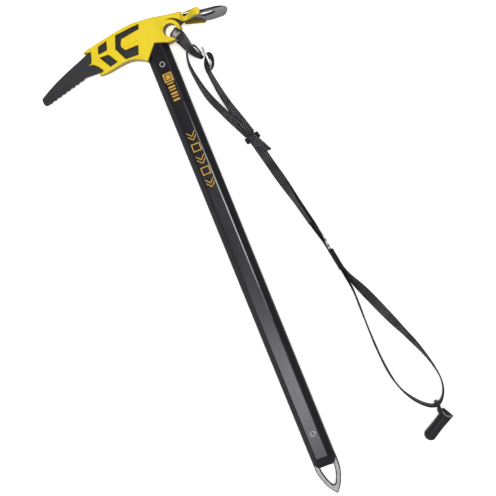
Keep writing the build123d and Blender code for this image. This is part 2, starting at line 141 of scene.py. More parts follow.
def finish_of(name, colour, roughness, metallic=0.0, grain=0.0008, relief=0.00004, mottle=0.12,
              spread=0.08, stretch=(1, 1, 1), shine=0.5):
    """A surface with a fine grain that dents it, and slow changes of colour and gloss over it."""
    material = bpy.data.materials.new(name)
    material.use_nodes = True
    nodes, links = material.node_tree.nodes, material.node_tree.links
    shader = nodes["Principled BSDF"]
    shader.inputs["Metallic"].default_value = metallic
    shader.inputs["Specular IOR Level"].default_value = shine
    where = nodes.new("ShaderNodeTexCoord")
    stretched = nodes.new("ShaderNodeMapping")
    stretched.inputs["Scale"].default_value = stretch
    links.new(where.outputs["Object"], stretched.inputs["Vector"])
    fine = nodes.new("ShaderNodeTexNoise")
    fine.inputs["Scale"].default_value = 1 / grain
    fine.inputs["Detail"].default_value = 3
    slow = nodes.new("ShaderNodeTexNoise")
    slow.inputs["Scale"].default_value = 70
    slow.inputs["Detail"].default_value = 4
    links.new(stretched.outputs["Vector"], fine.inputs["Vector"])
    links.new(stretched.outputs["Vector"], slow.inputs["Vector"])
    dents = nodes.new("ShaderNodeBump")
    dents.inputs["Distance"].default_value = relief
    dents.inputs["Strength"].default_value = 1.0
    links.new(fine.outputs["Fac"], dents.inputs["Height"])
    links.new(dents.outputs["Normal"], shader.inputs["Normal"])
    shades = nodes.new("ShaderNodeValToRGB")
    darker, lighter = [tuple(c * (1 + s * mottle) for c in colour) + (1,) for s in (-1, 1)]
    shades.color_ramp.elements[0].position, shades.color_ramp.elements[0].color = 0.3, darker
    shades.color_ramp.elements[1].position, shades.color_ramp.elements[1].color = 0.7, lighter
    links.new(slow.outputs["Fac"], shades.inputs["Fac"])
    links.new(shades.outputs["Color"], shader.inputs["Base Color"])
    gloss = nodes.new("ShaderNodeMapRange")
    gloss.inputs["To Min"].default_value = roughness - spread
    gloss.inputs["To Max"].default_value = roughness + spread
    links.new(slow.outputs["Fac"], gloss.inputs["Value"])
    links.new(gloss.outputs["Result"], shader.inputs["Roughness"])
    return material


pick_top = [(-142.0, 30.1), (-121.4, 37.8), (-100.9, 44.4), (-82.5, 50.2), (-60.0, 53.6), (-35.0, 56.2),
            (-18.0, 56.8), (0.0, 55.0), (25.0, 51.2)]
pick_tip = [(-161.6, 8.2), (-164.4, 9.3), (-165.6, 12.5), (-165.5, 16.5), (-164.9, 19.4)]
neck = [(44.0, 47.6), (63.0, 42.6), (64.5, 38.6), (44.0, 36.2), (38.3, 34.0)]
boss = [(HOLE_X + 12.7 * math.cos(t), HOLE_Y + 12.7 * math.sin(t)) for t in np.linspace(0, -math.pi / 2, 9)]
tang = [(17.0, 21.0), (11.0, 16.0), (11.0, -42.0), (8.0, -45.0), (-8.0, -45.0), (-11.0, -42.0),
        (-11.0, 12.0), (-26.0, 18.2)]
pick_belly = [(-44.0, 20.9), (-62.0, 20.0), (-80.5, 20.3), (-101.0, 21.7)]
pick_teeth = []
for tooth in range(7, -1, -1):
    x = -158.0 + tooth * 7.1
    y = 9.0 + 0.216 * (x + 158.0)
    pick_teeth += [(x + 5.3, y + 1.7), (x + 4.1, y + 0.5), (x + 1.4, y - 0.35), (x, y)]
plate_outline = traced([*[(x, y, SMOOTH) for x, y in pick_top], *neck, *boss, *tang,
                        *[(x, y, SMOOTH) for x, y in pick_belly], *pick_teeth, *pick_tip], steps=4)
plate_mesh = cut_plate("head_plate_steel", [plate_outline, circle(HOLE_X, HOLE_Y, HOLE_R)], PLATE, 0.5)
for v in plate_mesh.vertices:
    thin = min(max((-100.0 - v.co.x) / 70.0, 0.0), 1.0)
    v.co.z *= 1.0 - 0.4 * thin
pick_steel = finish_of("pick_steel", (0.014, 0.0135, 0.015), 0.5, 0.0, shine=0.4, grain=0.0006,
                       relief=0.00006, mottle=0.2)
even_shading(piece("head_plate_steel", plate_mesh, pick_steel, "axe", ["head_plate"]))


# ---- Adze ----
# Pressed from 3 mm steel and welded to the plate's neck: it flares to 57 mm, is scooped a little
# along its middle, has a hole to lighten it and a thin ground cutting end. Its near edge is painted
# charcoal as shade.
ADZE_HALF, ADZE_RISE, ADZE_THICK, ADZE_DROOP = 28.5, 3.0, 3.0, 2.0
ADZE_SLOPE = math.tan(math.radians(-9.3))


def distance_to(outline, x, y):
    """Distance from every x, y to a closed outline, negative inside it."""
    nearest, outside = np.full(x.shape, 1e9), np.ones(x.shape)
    for (ax, ay), (bx, by) in zip(outline, outline[1:] + outline[:1]):
        ex, ey, wx, wy = bx - ax, by - ay, x - ax, y - ay
        along = np.clip((wx * ex + wy * ey) / (ex * ex + ey * ey), 0, 1)
        nearest = np.minimum(nearest, (wx - ex * along) ** 2 + (wy - ey * along) ** 2)
        crossed = ((ay <= y) != (by <= y)) & (x < ex * (y - ay) / (ey if ey else 1e-9) + ax)
        outside = np.where(crossed, -outside, outside)
    return outside * np.sqrt(nearest)


def both(a, b, radius):
    """What two shapes share, with the edge between them rounded."""
    u, v = np.maximum(radius + a, 0), np.maximum(radius + b, 0)
    return np.minimum(-radius, np.maximum(a, b)) + np.sqrt(u * u + v * v)


def joined(a, b, radius):
    """Two shapes as one, with a fillet between them."""
    return -both(-a, -b, radius)


def grid(low, high, step):
    """Evenly spaced X, Y and Z that broadcast to a block of points."""
    sides = [np.arange(a, b + step, step) for a, b in zip(low, high)]
    return np.meshgrid(*sides, indexing="ij", sparse=True)


def moulded(name, field, low, step):
    """The closed skin on a block of distances where they pass zero, one vertex to a cell."""
    inside = field < 0
    cells = tuple(n - 1 for n in field.shape)
    total, count = np.zeros((*cells, 3)), np.zeros(cells)
    for axis in range(3):
        others = [(axis + 1) % 3, (axis + 2) % 3]
        near = [slice(None)] * 3
        far = [slice(None)] * 3
        near[axis], far[axis] = slice(0, -1), slice(1, None)
        a, b = field[tuple(near)], field[tuple(far)]
        crossing = (a < 0) != (b < 0)
        share = np.where(crossing, a / np.where(crossing, a - b, 1), 0)
        for i in (0, 1):
            for j in (0, 1):
                part = [slice(None)] * 3
                part[others[0]] = slice(i, i + cells[others[0]])
                part[others[1]] = slice(j, j + cells[others[1]])
                here = crossing[tuple(part)]
                total[..., axis] += share[tuple(part)]
                total[..., others[0]] += here * i
                total[..., others[1]] += here * j
                count += here
    active = count > 0
    number = np.full(cells, -1)
    number[active] = np.arange(active.sum())
    places = np.argwhere(active) + total[active] / count[active][:, None]
    quads = []
    for axis in range(3):
        first, second = (axis + 1) % 3, (axis + 2) % 3
        near = [slice(1, -1)] * 3
        far = [slice(1, -1)] * 3
        near[axis], far[axis] = slice(0, -1), slice(1, None)
        leaving = inside[tuple(near)] & ~inside[tuple(far)]
        entering = ~inside[tuple(near)] & inside[tuple(far)]
        for which, order in ((leaving, (0, 1, 2, 3)), (entering, (3, 2, 1, 0))):
            at = np.argwhere(which)
            at[:, first] += 1
            at[:, second] += 1
            loops = []
            for di, dj in ((-1, -1), (0, -1), (0, 0), (-1, 0)):
                cell = at.copy()
                cell[:, first] += di
                cell[:, second] += dj
                loops.append(number[cell[:, 0], cell[:, 1], cell[:, 2]])
            quads.append(np.stack([loops[k] for k in order], axis=1))
    mesh = bpy.data.meshes.new(name)
    mesh.from_pydata((np.array(low) + places * step).tolist(), [], np.concatenate(quads).tolist())
    mesh.validate()
    mesh.shade_smooth()
    return mesh


def in_part(mesh, material, chosen):
    """Gives the chosen faces of a finished piece one more material."""
    mesh.materials.append(material)
    for face, picked in zip(mesh.polygons, chosen):
        if picked:
            face.material_index = len(mesh.materials) - 1


adze_low, adze_step = (44.0, 23.0, -31.0), 0.5
x, y, z = grid(adze_low, (106.0, 46.0, 31.0), adze_step)
side_run = [(47.0, -9.0), (60.5, -16.3, SMOOTH), (72.0, -ADZE_HALF, SMOOTH), (88.0, -ADZE_HALF, SMOOTH),
            (96.4, -25.2, SMOOTH), (100.2, -17.5, SMOOTH), (102.6, -9.0, SMOOTH)]
adze_plan = traced([*side_run, (103.3, 0.0, SMOOTH), *[(p[0], -p[1], *p[2:]) for p in reversed(side_run)]])
adze_hole = traced([(68.2, 0, SMOOTH), (71.5, -9.8, SMOOTH), (77.0, -9.2, SMOOTH), (84.5, -6.2, SMOOTH),
                    (87.6, 0, SMOOTH), (84.5, 6.2, SMOOTH), (77.0, 9.2, SMOOTH), (71.5, 9.8, SMOOTH)])
middle = 35.3 + ADZE_THICK / 2 + (x - 72.0) * ADZE_SLOPE + ADZE_RISE * (1 - (z / ADZE_HALF) ** 2)
middle = middle - ADZE_DROOP * np.clip((x - 48.0) / 20.0, 0, 1)
ground = np.clip((x - 91.0) / 12.0, 0, 1)
sheet = np.abs(y - middle + 0.55 * ground) * 0.985 - (ADZE_THICK / 2 - 0.95 * ground)
plan = distance_to(adze_plan, x[:, :, 0], z[:, 0, :].repeat(x.shape[0], axis=0))[:, None, :]
eye = distance_to(adze_hole, x[:, :, 0], z[:, 0, :].repeat(x.shape[0], axis=0))[:, None, :]
adze_field = both(both(sheet, plan, 0.7), -eye, 0.7)
adze_mesh = moulded("adze_steel", adze_field, adze_low, adze_step)
adze_steel = finish_of("adze_steel", (0.085, 0.085, 0.087), 0.44, 0.75, grain=0.0005, relief=0.00008,
                       mottle=0.15)
# Painted shade: faces of the adze's near edge take the pick's charcoal finish.
painted_shade_edge = [f.normal.z > 0.6 for f in adze_mesh.polygons]
piece("adze_steel", adze_mesh, adze_steel, "axe", ["adze_blade"])
in_part(adze_mesh, pick_steel, painted_shade_edge)


# ---- Shaft ----
# A drawn aluminium tube with eight faces, 32.5 x 21 mm, anodised black. One rounded edge has a
# brighter metallic copy of the finish as a painted highlight, and the left bevels a duller copy as
# painted shade. Its top is slotted for the plate and hidden by the covers, and the plug closes its
# lower end.
SHAFT_WIDTH, SHAFT_DEPTH, SHAFT_FLAT, SHAFT_SIDE = 32.5, 21.0, 16.8, 7.0
SHAFT_TOP, SHAFT_END, SHAFT_WALL = 26.0, -548.0, 1.8


def shaft_corners(grow=0.0):
    """The faceted section as (X, Z) corners, made larger or smaller all round."""
    half, deep = SHAFT_WIDTH / 2 + grow, SHAFT_DEPTH / 2 + grow
    flat, side = SHAFT_FLAT / 2 + 0.4 * grow, SHAFT_SIDE / 2 + 0.3 * grow
    right = [(flat - 1.5, deep), (flat, deep - 0.28), (half - 1.2, side + 0.9), (half, side - 1.2)]
    right += [(a, -b) for a, b in reversed(right)]
    return right + [(-a, b) for a, b in reversed(right)]


def rounded(corners, radius, steps=4):
    """A closed outline with each of its corners turned into a small arc."""
    points = []
    for before, corner, after in zip([corners[-1], *corners[:-1]], corners, [*corners[1:], corners[0]]):
        a, c, b = (Vector(p) for p in (before, corner, after))
        reach = min(radius, 0.45 * (a - c).length, 0.45 * (b - c).length)
        start, end = c + (a - c).normalized() * reach, c + (b - c).normalized() * reach
        for i in range(steps + 1):
            t = i / steps
            points.append(((1 - t) ** 2 * start + 2 * t * (1 - t) * c + t * t * end)[:])
    return points


def lofted(name, rings, closed=False):
    """A skin over rings that have the same number of points; a closed one returns to its first ring."""
    made = bmesh.new()
    rows = [[made.verts.new(p) for p in ring] for ring in rings]
    pairs = list(zip(rows, rows[1:])) + ([(rows[-1], rows[0])] if closed else [])
    for low_row, high_row in pairs:
        count = len(low_row)
        for i in range(count):
            j = (i + 1) % count
            made.faces.new((low_row[i], low_row[j], high_row[j], high_row[i]))
    if not closed:
        made.faces.new(rows[0])
        made.faces.new(reversed(rows[-1]))
    bmesh.ops.recalc_face_normals(made, faces=made.faces)
    mesh = bpy.data.meshes.new(name)
    made.to_mesh(mesh)
    made.free()
    return mesh


outer = rounded(shaft_corners(), 0.45)
inner = rounded(shaft_corners(-SHAFT_WALL), 0.6)
softened = rounded(shaft_corners(-0.35), 0.45)
shaft_rings = [[(a, SHAFT_TOP, b) for a, b in inner], [(a, SHAFT_TOP, b) for a, b in outer]]
shaft_rings += [[(a, y, b) for a, b in outer] for y in np.linspace(SHAFT_TOP - 6, SHAFT_END + 0.35, 30)]
shaft_rings += [[(a, SHAFT_END, b) for a, b in softened], [(a, SHAFT_END, b) for a, b in inner]]
shaft_mesh = lofted("shaft_skin", shaft_rings, closed=True)
DRAWN = {"grain": 0.0007, "relief": 0.000012}
shaft_black = finish_of("shaft_black", (0.009, 0.009, 0.0105), 0.16, shine=0.36, mottle=0.15, spread=0.05,
                        stretch=(1, 0.15, 1), **DRAWN)
# Painted highlight: the rounded edge at the near face's right gets a brighter, metallic copy of the black
# finish.
painted_highlight_edge = [f.center.z > 9.6 and f.center.x > SHAFT_FLAT / 2 - 1.6 for f in shaft_mesh.polygons]
# Painted shade: the left bevels get a duller, less shiny copy of the black finish.
painted_shade_side = [f.center.x < -SHAFT_FLAT / 2 - 0.5 for f in shaft_mesh.polygons]
shaft_skin = piece("shaft_skin", shaft_mesh, shaft_black, "axe", ["shaft_tube"])
in_part(shaft_mesh, finish_of("shaft_painted_highlight", (0.055, 0.055, 0.059), 0.2, 1.0, **DRAWN), painted_highlight_edge)
in_part(shaft_mesh, finish_of("shaft_painted_shade", (0.008, 0.008, 0.0095), 0.3, shine=0.2, **DRAWN), painted_shade_side)
even_shading(shaft_skin, 20)


# ---- Fillers inside the tube ----
# Two moulded nylon halves that hold the plate's tang in the middle of the tube. They are hidden
# once the head is closed, so the plain solids stay and only get their nylon finish.
filler_grey = finish_of("filler_grey", (0.16, 0.16, 0.16), 0.5, grain=0.001)
for half in ("head_spacer_near", "head_spacer_far"):
    frame["nodes"][half].data.materials.clear()
    frame["nodes"][half].data.materials.append(filler_grey)


# ---- Head covers ----
# Two yellow half-shells, moulded with chevron windows that show the steel, a raised ring round
# the hole and an arm along each edge of the adze's neck. The hollow rivet holds them together.
BOSS_R, COVER_STEP = 13.7, 0.5
cover_low = (-95.0, 3.0, -1.5)
cover_top = [(-80.0, 54.4), (-60.0, 56.9), (-35.0, 59.5), (-19.0, 60.0), (0.0, 58.0), (26.0, 54.1)]
cover_arm = [(46.0, 50.6), (46.0, 36.0), (42.4, 39.0), (38.8, 42.8), (34.5, 45.7), (30.0, 47.2),
             (25.4, 47.4)]
cover_ring = [(HOLE_X + BOSS_R * math.cos(t), HOLE_Y + BOSS_R * math.sin(t))
              for t in np.linspace(math.pi / 2, -math.pi / 2, 17)]
cover_belly = [(-24.8, 13.6), (-37.1, 17.9), (-51.2, 17.6), (-63.3, 16.1), (-71.4, 15.3)]
cover_front = [(-81.5, 15.9), (-81.5, 18.7), (-75.5, 19.6), (-75.0, 21.2), (-79.5, 27.8), (-84.3, 32.3),
               (-91.0, 33.9), (-86.2, 35.6), (-84.0, 40.3), (-81.5, 48.4), (-91.0, 50.4), (-91.0, 52.4)]
cover_outline = traced([*[(a, b, SMOOTH) for a, b in cover_top], *cover_arm, *cover_ring, (17.9, 19.0),
                        (1.2, 24.8), (-14.9, 7.6), (-16.9, 8.2), *[(a, b, SMOOTH) for a, b in cover_belly],
                        *cover_front], steps=4)
window_front_up = [(-69.4, 50.5), (-56.5, 53.0), (-59.6, 43.3), (-60.6, 42.0), (-72.6, 41.6)]
window_front_low = [(-72.9, 37.2), (-60.4, 35.8), (-58.6, 33.0), (-52.8, 22.9), (-63.6, 21.2)]
window_middle = [(-42.4, 54.6), (-9.1, 55.2), (-10.9, 49.4), (-37.1, 47.1), (-40.9, 40.8), (-40.9, 37.4),
                 (-37.4, 31.9), (-19.1, 30.9), (-23.6, 19.9), (-41.1, 21.6), (-49.0, 38.6)]
window_spine = [(-74.2, 41.8), (-60.0, 42.2), (-59.8, 35.6), (-74.2, 37.0)]
tongue_panel = [(-36.6, 37.0), (-37.4, 39.2), (-34.6, 44.2), (-19.0, 45.4), (-16.5, 36.2), (-34.0, 36.0)]
cover_profile = [(-95, 5.6), (-60, 8.0), (-32, 11.2), (-20, 12.9), (11, 12.9), (20, 9.0), (30, 6.8),
                 (50, 6.8)]
x, y, z = grid(cover_low, (76.0, 63.0, 33.0), COVER_STEP)
flat_x, flat_y = np.broadcast_arrays(x[:, :, 0], y[:, :, 0])
side_x, side_z = np.broadcast_arrays(x[:, 0, :], z[:, 0, :])
rim = distance_to(cover_outline, flat_x, flat_y)
level = np.interp(flat_x, *zip(*cover_profile))
shell = both(rim[:, :, None], z - level[:, :, None], 2.8)
ring_way = np.hypot(flat_x - HOLE_X, flat_y - HOLE_Y)
ring_boss = both((ring_way - BOSS_R)[:, :, None], z - 8.2, 1.6)
shell = joined(shell, ring_boss, 1.2)
for window in (window_front_up, window_front_low, window_middle):
    shell = both(shell, -distance_to(window, flat_x, flat_y)[:, :, None], 1.5)
spine = both(distance_to(window_spine, flat_x, flat_y)[:, :, None], z - (PLATE / 2 + 3.2), 0.8)
shell = joined(shell, spine, 0.4)
panel = both(distance_to(tongue_panel, flat_x, flat_y)[:, :, None], level[:, :, None] - 0.8 - z, 0.4)
shell = both(shell, -panel, 0.5)
arm_outline = [(45.0, 47.4), (58.0, 43.9), (67.0, 41.4), (70.5, 36.8), (67.0, 32.6), (54.0, 33.9),
               (45.0, 35.6)]
arm_window = [(47.6, 45.3), (59.0, 41.9), (48.6, 40.4)]
arm_strip = [(44.0, 6.8), (50.0, 11.4), (56.0, 15.0), (61.5, 19.0), (66.0, 23.0), (72.4, 29.9),
             (70.6, 31.0), (66.0, 30.5), (60.5, 25.0), (53.0, 16.2), (44.0, 10.0)]
arm_side = joined(distance_to(arm_outline, flat_x, flat_y), np.hypot(flat_x - 67.0, flat_y - 36.9) - 4.9,
                  0.6)
arm_side = both(arm_side, -distance_to(arm_window, flat_x, flat_y), 0.5)
arm = both(arm_side[:, :, None], distance_to(arm_strip, side_x, side_z)[:, None, :], 1.1)
shell = joined(shell, arm, 1.0)
shell = both(shell, (HOLE_R - ring_way)[:, :, None], 0.9)
tube = both(distance_to([(a, b) for a, b in shaft_corners(0.3)], side_x, side_z)[:, None, :],
            y - (SHAFT_TOP + 0.3), 0.4)
shell = np.maximum(shell, -tube)
steel = np.maximum(distance_to(plate_outline, flat_x, flat_y)[:, :, None], z - PLATE / 2)
shell = np.maximum(np.maximum(shell, -steel), -z)


def moulded_yellow():
    """Satin yellow plastic with a fine moulded grain, and painted shade: dark olive where faces turn from
    straight up.
    """
    material = finish_of("cover_yellow", (0.88, 0.67, 0.008), 0.45, grain=0.0005, relief=0.00003,
                         mottle=0.03, spread=0.05, shine=0.35)
    nodes, links = material.node_tree.nodes, material.node_tree.links
    shader = nodes["Principled BSDF"]
    shader.inputs["Subsurface Weight"].default_value = 0.12
    shader.inputs["Subsurface Scale"].default_value = 0.002
    # Painted shade: the attribute is 1 on faces that look straight up and falls to 0 as they turn aside,
    # mixing in the dark olive.
    painted_rim_shade = nodes.new("ShaderNodeAttribute")
    painted_rim_shade.attribute_name = "painted_rim_shade"
    rim_shade_mix = nodes.new("ShaderNodeMixRGB")
    links.new(painted_rim_shade.outputs["Fac"], rim_shade_mix.inputs["Fac"])
    rim_shade_mix.inputs["Color1"].default_value = (0.22, 0.16, 0.006, 1)
    links.new(shader.inputs["Base Color"].links[0].from_socket, rim_shade_mix.inputs["Color2"])
    links.new(rim_shade_mix.outputs["Color"], shader.inputs["Base Color"])
    return material


cover_yellow = moulded_yellow()
for side, sign in (("near", 1), ("far", -1)):
    cover_mesh = moulded(f"cover_{side}_shell", shell, cover_low, COVER_STEP)
    # Painted shade kept per vertex: 1 where the normal points up, 0 where it turns aside.
    painted_rim_shade = cover_mesh.attributes.new("painted_rim_shade", "FLOAT", "POINT")
    for value, v in zip(painted_rim_shade.data, cover_mesh.vertices):
        value.value = min(max((v.normal.z - 0.25) / 0.55, 0.0), 1.0)
        # Painted shadow: past x = 46 mm the far cover's arm keeps only 0.7 of that value, so it reads
        # darker.
        if sign < 0 and v.co.x > 46.0:
            value.value *= 0.7
    if sign < 0:
        cover_mesh.transform(Matrix.Scale(-1, 4, (0, 0, 1)))
        cover_mesh.flip_normals()
    piece(f"cover_{side}_shell", cover_mesh, cover_yellow, "axe", [f"cover_{side}"])


# ---- Hollow rivets ----
# Bright plated steel tubes, rolled over at both ends: one through the tang just below the head,
# one through the spike's tang.
RIVET_BORE, RIVET_SHANK, RIVET_FLANGE = 2.2, 3.0, 3.9


def turned(name, profile, count=48):
    """A closed (radius, height) profile turned about Z."""
    rings = []
    for i in range(count):
        t = 2 * math.pi * i / count
        rings.append([(r * math.cos(t), r * math.sin(t), h) for r, h in profile])
    return lofted(name, rings, closed=True)


plated = finish_of("plated_steel", (0.5, 0.49, 0.47), 0.3, 1.0, grain=0.0004, relief=0.00001, mottle=0.1)
unlit_bore = finish_of("rivet_bore", (0.02, 0.02, 0.02), 0.7, shine=0.1)
face = SHAFT_DEPTH / 2
rolled_end = [(RIVET_BORE, face - 0.4), (RIVET_BORE + 0.08, face + 0.35), (2.6, face + 0.75),
              (3.0, face + 0.88), (3.5, face + 0.72), (RIVET_FLANGE, face + 0.3), (RIVET_FLANGE, face),
              (RIVET_SHANK, face)]
rivet_profile = rolled_end + [(r, -h) for r, h in reversed(rolled_end)]
for end, at in (("head", HEAD_RIVET_Y), ("spike", SPIKE_RIVET_Y)):
    rivet_mesh = turned(f"{end}_rivet_rolled", rivet_profile)
    rivet_mesh.transform(Matrix.Translation((0, at, 0)))
    rivet_mesh.shade_smooth()
    inside = [math.hypot(f.center.x, f.center.y - at) < RIVET_BORE + 0.15 for f in rivet_mesh.polygons]
    piece(f"{end}_rivet_rolled", rivet_mesh, plated, "axe", [f"{end}_rivet"])
    in_part(rivet_mesh, unlit_bore, inside)


# ---- Plug and collar ----
# Black moulded nylon: a stem pushed into the tube, and a collar below it that slopes down to the
# spike from every side. A slot through it holds the spike's blade.
PLUG_END, SPIKE_THICK = -561.9, 4.0
plug_low, plug_step = (-18.0, -563.6, -12.0), 0.4
x, y, z = grid(plug_low, (18.0, -540.0, 12.0), plug_step)
flat_x, flat_y = np.broadcast_arrays(x[:, :, 0], y[:, :, 0])
side_x, side_z = np.broadcast_arrays(x[:, 0, :], z[:, 0, :])
deep_y, deep_z = np.broadcast_arrays(y[0, :, :], z[0, :, :])
collar_side = [(-16.4, -538.0), (16.4, -538.0), (16.4, -553.4), (10.4, PLUG_END), (-10.4, PLUG_END),
               (-16.4, -553.4)]
collar_slope = [(-538.0, 10.4), (-548.5, 10.4), (-551.0, 9.4), (PLUG_END, 3.4), (PLUG_END, -3.4),
                (-551.0, -9.4), (-548.5, -10.4), (-538.0, -10.4)]
collar = distance_to(shaft_corners(-0.15), side_x, side_z)[:, None, :]
collar = both(collar, distance_to(collar_side, flat_x, flat_y)[:, :, None], 0.7)
collar = both(collar, distance_to(collar_slope, deep_y, deep_z)[None, :, :], 0.7)
in_tube = distance_to(shaft_corners(-SHAFT_WALL - 0.05), side_x, side_z)[:, None, :]
collar = np.maximum(collar, np.where(y > -548.05, in_tube, -50.0))
collar = np.maximum(collar, y + 541.0)
slot_end = np.where(np.abs(x) > 10.4, 0.0, -20.0)
collar = np.maximum(collar, -np.maximum(np.abs(z) - SPIKE_THICK / 2 - 0.05, y + 553.4 - slot_end))
plug_mesh = moulded("end_plug_collar", collar, plug_low, plug_step)
plug_black = finish_of("plug_black", (0.006, 0.006, 0.007), 0.5, shine=0.35, grain=0.0006, relief=0.00005)
piece("end_plug_collar", plug_mesh, plug_black, "axe", ["end_plug"])


# ---- Spike ----
# Cut from 4 mm stainless plate, blasted, with its edges ground to a wide bevel all the way round
# the outside and round the opening that a karabiner clips into.
SPIKE_HALF = 16.25
spike_side = [(SPIKE_HALF, -562.0, SMOOTH), (15.0, -572.5, SMOOTH), (12.2, -581.0, SMOOTH),
              (7.9, -590.8, SMOOTH)]
spike_outline = traced([(-SPIKE_HALF, -551.0), (SPIKE_HALF, -551.0), *spike_side, (1.2, -600.0),
                        (0, -600.6), (-1.2, -600.0), *[(-a, b, s) for a, b, s in reversed(spike_side)]])
opening_side = [(9.2, -566.0, SMOOTH), (7.6, -573.5, SMOOTH), (4.6, -582.5, SMOOTH)]
spike_opening = traced([(9.4, -559.0), *opening_side, (0, -588.2, SMOOTH),
                        *[(-a, b, s) for a, b, s in reversed(opening_side)], (-9.4, -559.0)])
spike_mesh = cut_plate("spike_steel_blade", [spike_outline, spike_opening], SPIKE_THICK, 1.35, 0)
spike_steel = finish_of("spike_steel", (0.30, 0.30, 0.305), 0.45, 0.85, grain=0.0004, relief=0.00006,
                        mottle=0.12)
ground_steel = finish_of("ground_steel", (0.03, 0.03, 0.031), 0.35, 0.9, grain=0.0006, relief=0.00002)
spike = piece("spike_steel_blade", spike_mesh, spike_steel, "axe", ["spike_blade"])
in_part(spike_mesh, ground_steel, [abs(f.normal.dot(through)) < 0.95 for f in spike_mesh.polygons])
even_shading(spike, 25)


# ---- Marks on the shaft ----
# Amber ink on the near face: a plain block with a bar under it, and a row of open chevrons and
# bars further down. They are simple shapes that name nobody.
INK_HEIGHT, INK_THICK, STROKE = SHAFT_DEPTH / 2 + 0.01, 0.06, 1.25


def inked(name, outlines):
    """Flat shapes of ink, each a closed outline, a little above the face they are printed on."""
    made = bmesh.new()
    for outline in outlines:
        bottom = [made.verts.new((a, b, INK_HEIGHT)) for a, b in outline]
        top = [made.verts.new((a, b, INK_HEIGHT + INK_THICK)) for a, b in outline]
        made.faces.new(top)
        made.faces.new(reversed(bottom))
        for i in range(len(outline)):
            j = (i + 1) % len(outline)
            made.faces.new((bottom[i], bottom[j], top[j], top[i]))
    bmesh.ops.recalc_face_normals(made, faces=made.faces)
    mesh = bpy.data.meshes.new(name)
    made.to_mesh(mesh)
    made.free()
    return mesh


def ink_bar(x0, x1, y0, y1):
    return [(x0, y0), (x1, y0), (x1, y1), (x0, y1)]


def ink_frame(x0, x1, y0, y1, stroke):
    """An open rectangle as four bars that meet at their ends."""
    return [ink_bar(x0, x0 + stroke, y0, y1), ink_bar(x1 - stroke, x1, y0, y1),
            ink_bar(x0 + stroke, x1 - stroke, y0, y0 + stroke),
            ink_bar(x0 + stroke, x1 - stroke, y1 - stroke, y1)]


def ink_chevron(y0, y1, stroke):
    """A V across the face, its point towards the spike."""
    middle = 0.35
    return [[(-5.4, y1), (-5.4, y1 - stroke * 1.25), (middle, y0), (middle, y0 + stroke * 1.25)],
            [(6.1, y1 - stroke * 1.25), (6.1, y1), (middle, y0 + stroke * 1.25), (middle, y0)]]


ink = [ink_bar(-5.6, 6.4, -17.4, -15.8), ink_bar(-5.6, 6.4, -27.4, -25.6),
       ink_bar(-5.6, -3.6, -25.6, -17.4), ink_bar(4.4, 6.4, -25.6, -17.4), ink_bar(-2.4, 3.2, -24.4, -18.6)]
ink += [ink_bar(-4.1, 4.9, -28.9 - 4.3 * i - (2.6 if i % 2 else 1.7), -28.9 - 4.3 * i) for i in range(6)]
for step in range(5):
    start = -97.0 - 16.0 * step
    if step % 2:
        ink += ink_frame(-5.4, 6.1, start - 10.0, start + 0.5, STROKE)
    else:
        ink += ink_chevron(start - 6.5, start + 1.0, STROKE)
        ink += ink_chevron(start - 11.5, start - 4.0, STROKE)
amber_ink = finish_of("amber_ink", (0.60, 0.33, 0.015), 0.5, grain=0.0006, relief=0.00001, mottle=0.08)
piece("shaft_marks", inked("shaft_marks", ink), amber_ink, "axe")


# ---- Leash: the straps ----
# Black 12 mm nylon webbing. Two strands come down from the sling and the link, pass the adjuster
# and lie on each other as the main strap. Lower down they turn on edge, go through the keeper and
# open into the wrist loop. Each strap follows its own smooth line on the ground.
WEB_WIDTH, WEB_THICK, WEB_GAP, EDGE_BAND = 0.012, 0.0018, 0.00115, 4.7
GROUND = Matrix.Scale(0.001, 4)


def arithmetic(tree):
    """A function that adds one step of arithmetic to a tree of nodes."""
    def step(operation, a, b=0.0, c=0.0):
        node = tree.nodes.new("ShaderNodeMath")
        node.operation = operation
        for socket, value in zip(node.inputs, (a, b, c)):
            if isinstance(value, (int, float)):
                socket.default_value = value
            else:
                tree.links.new(value, socket)
        return node.outputs[0]
    return step


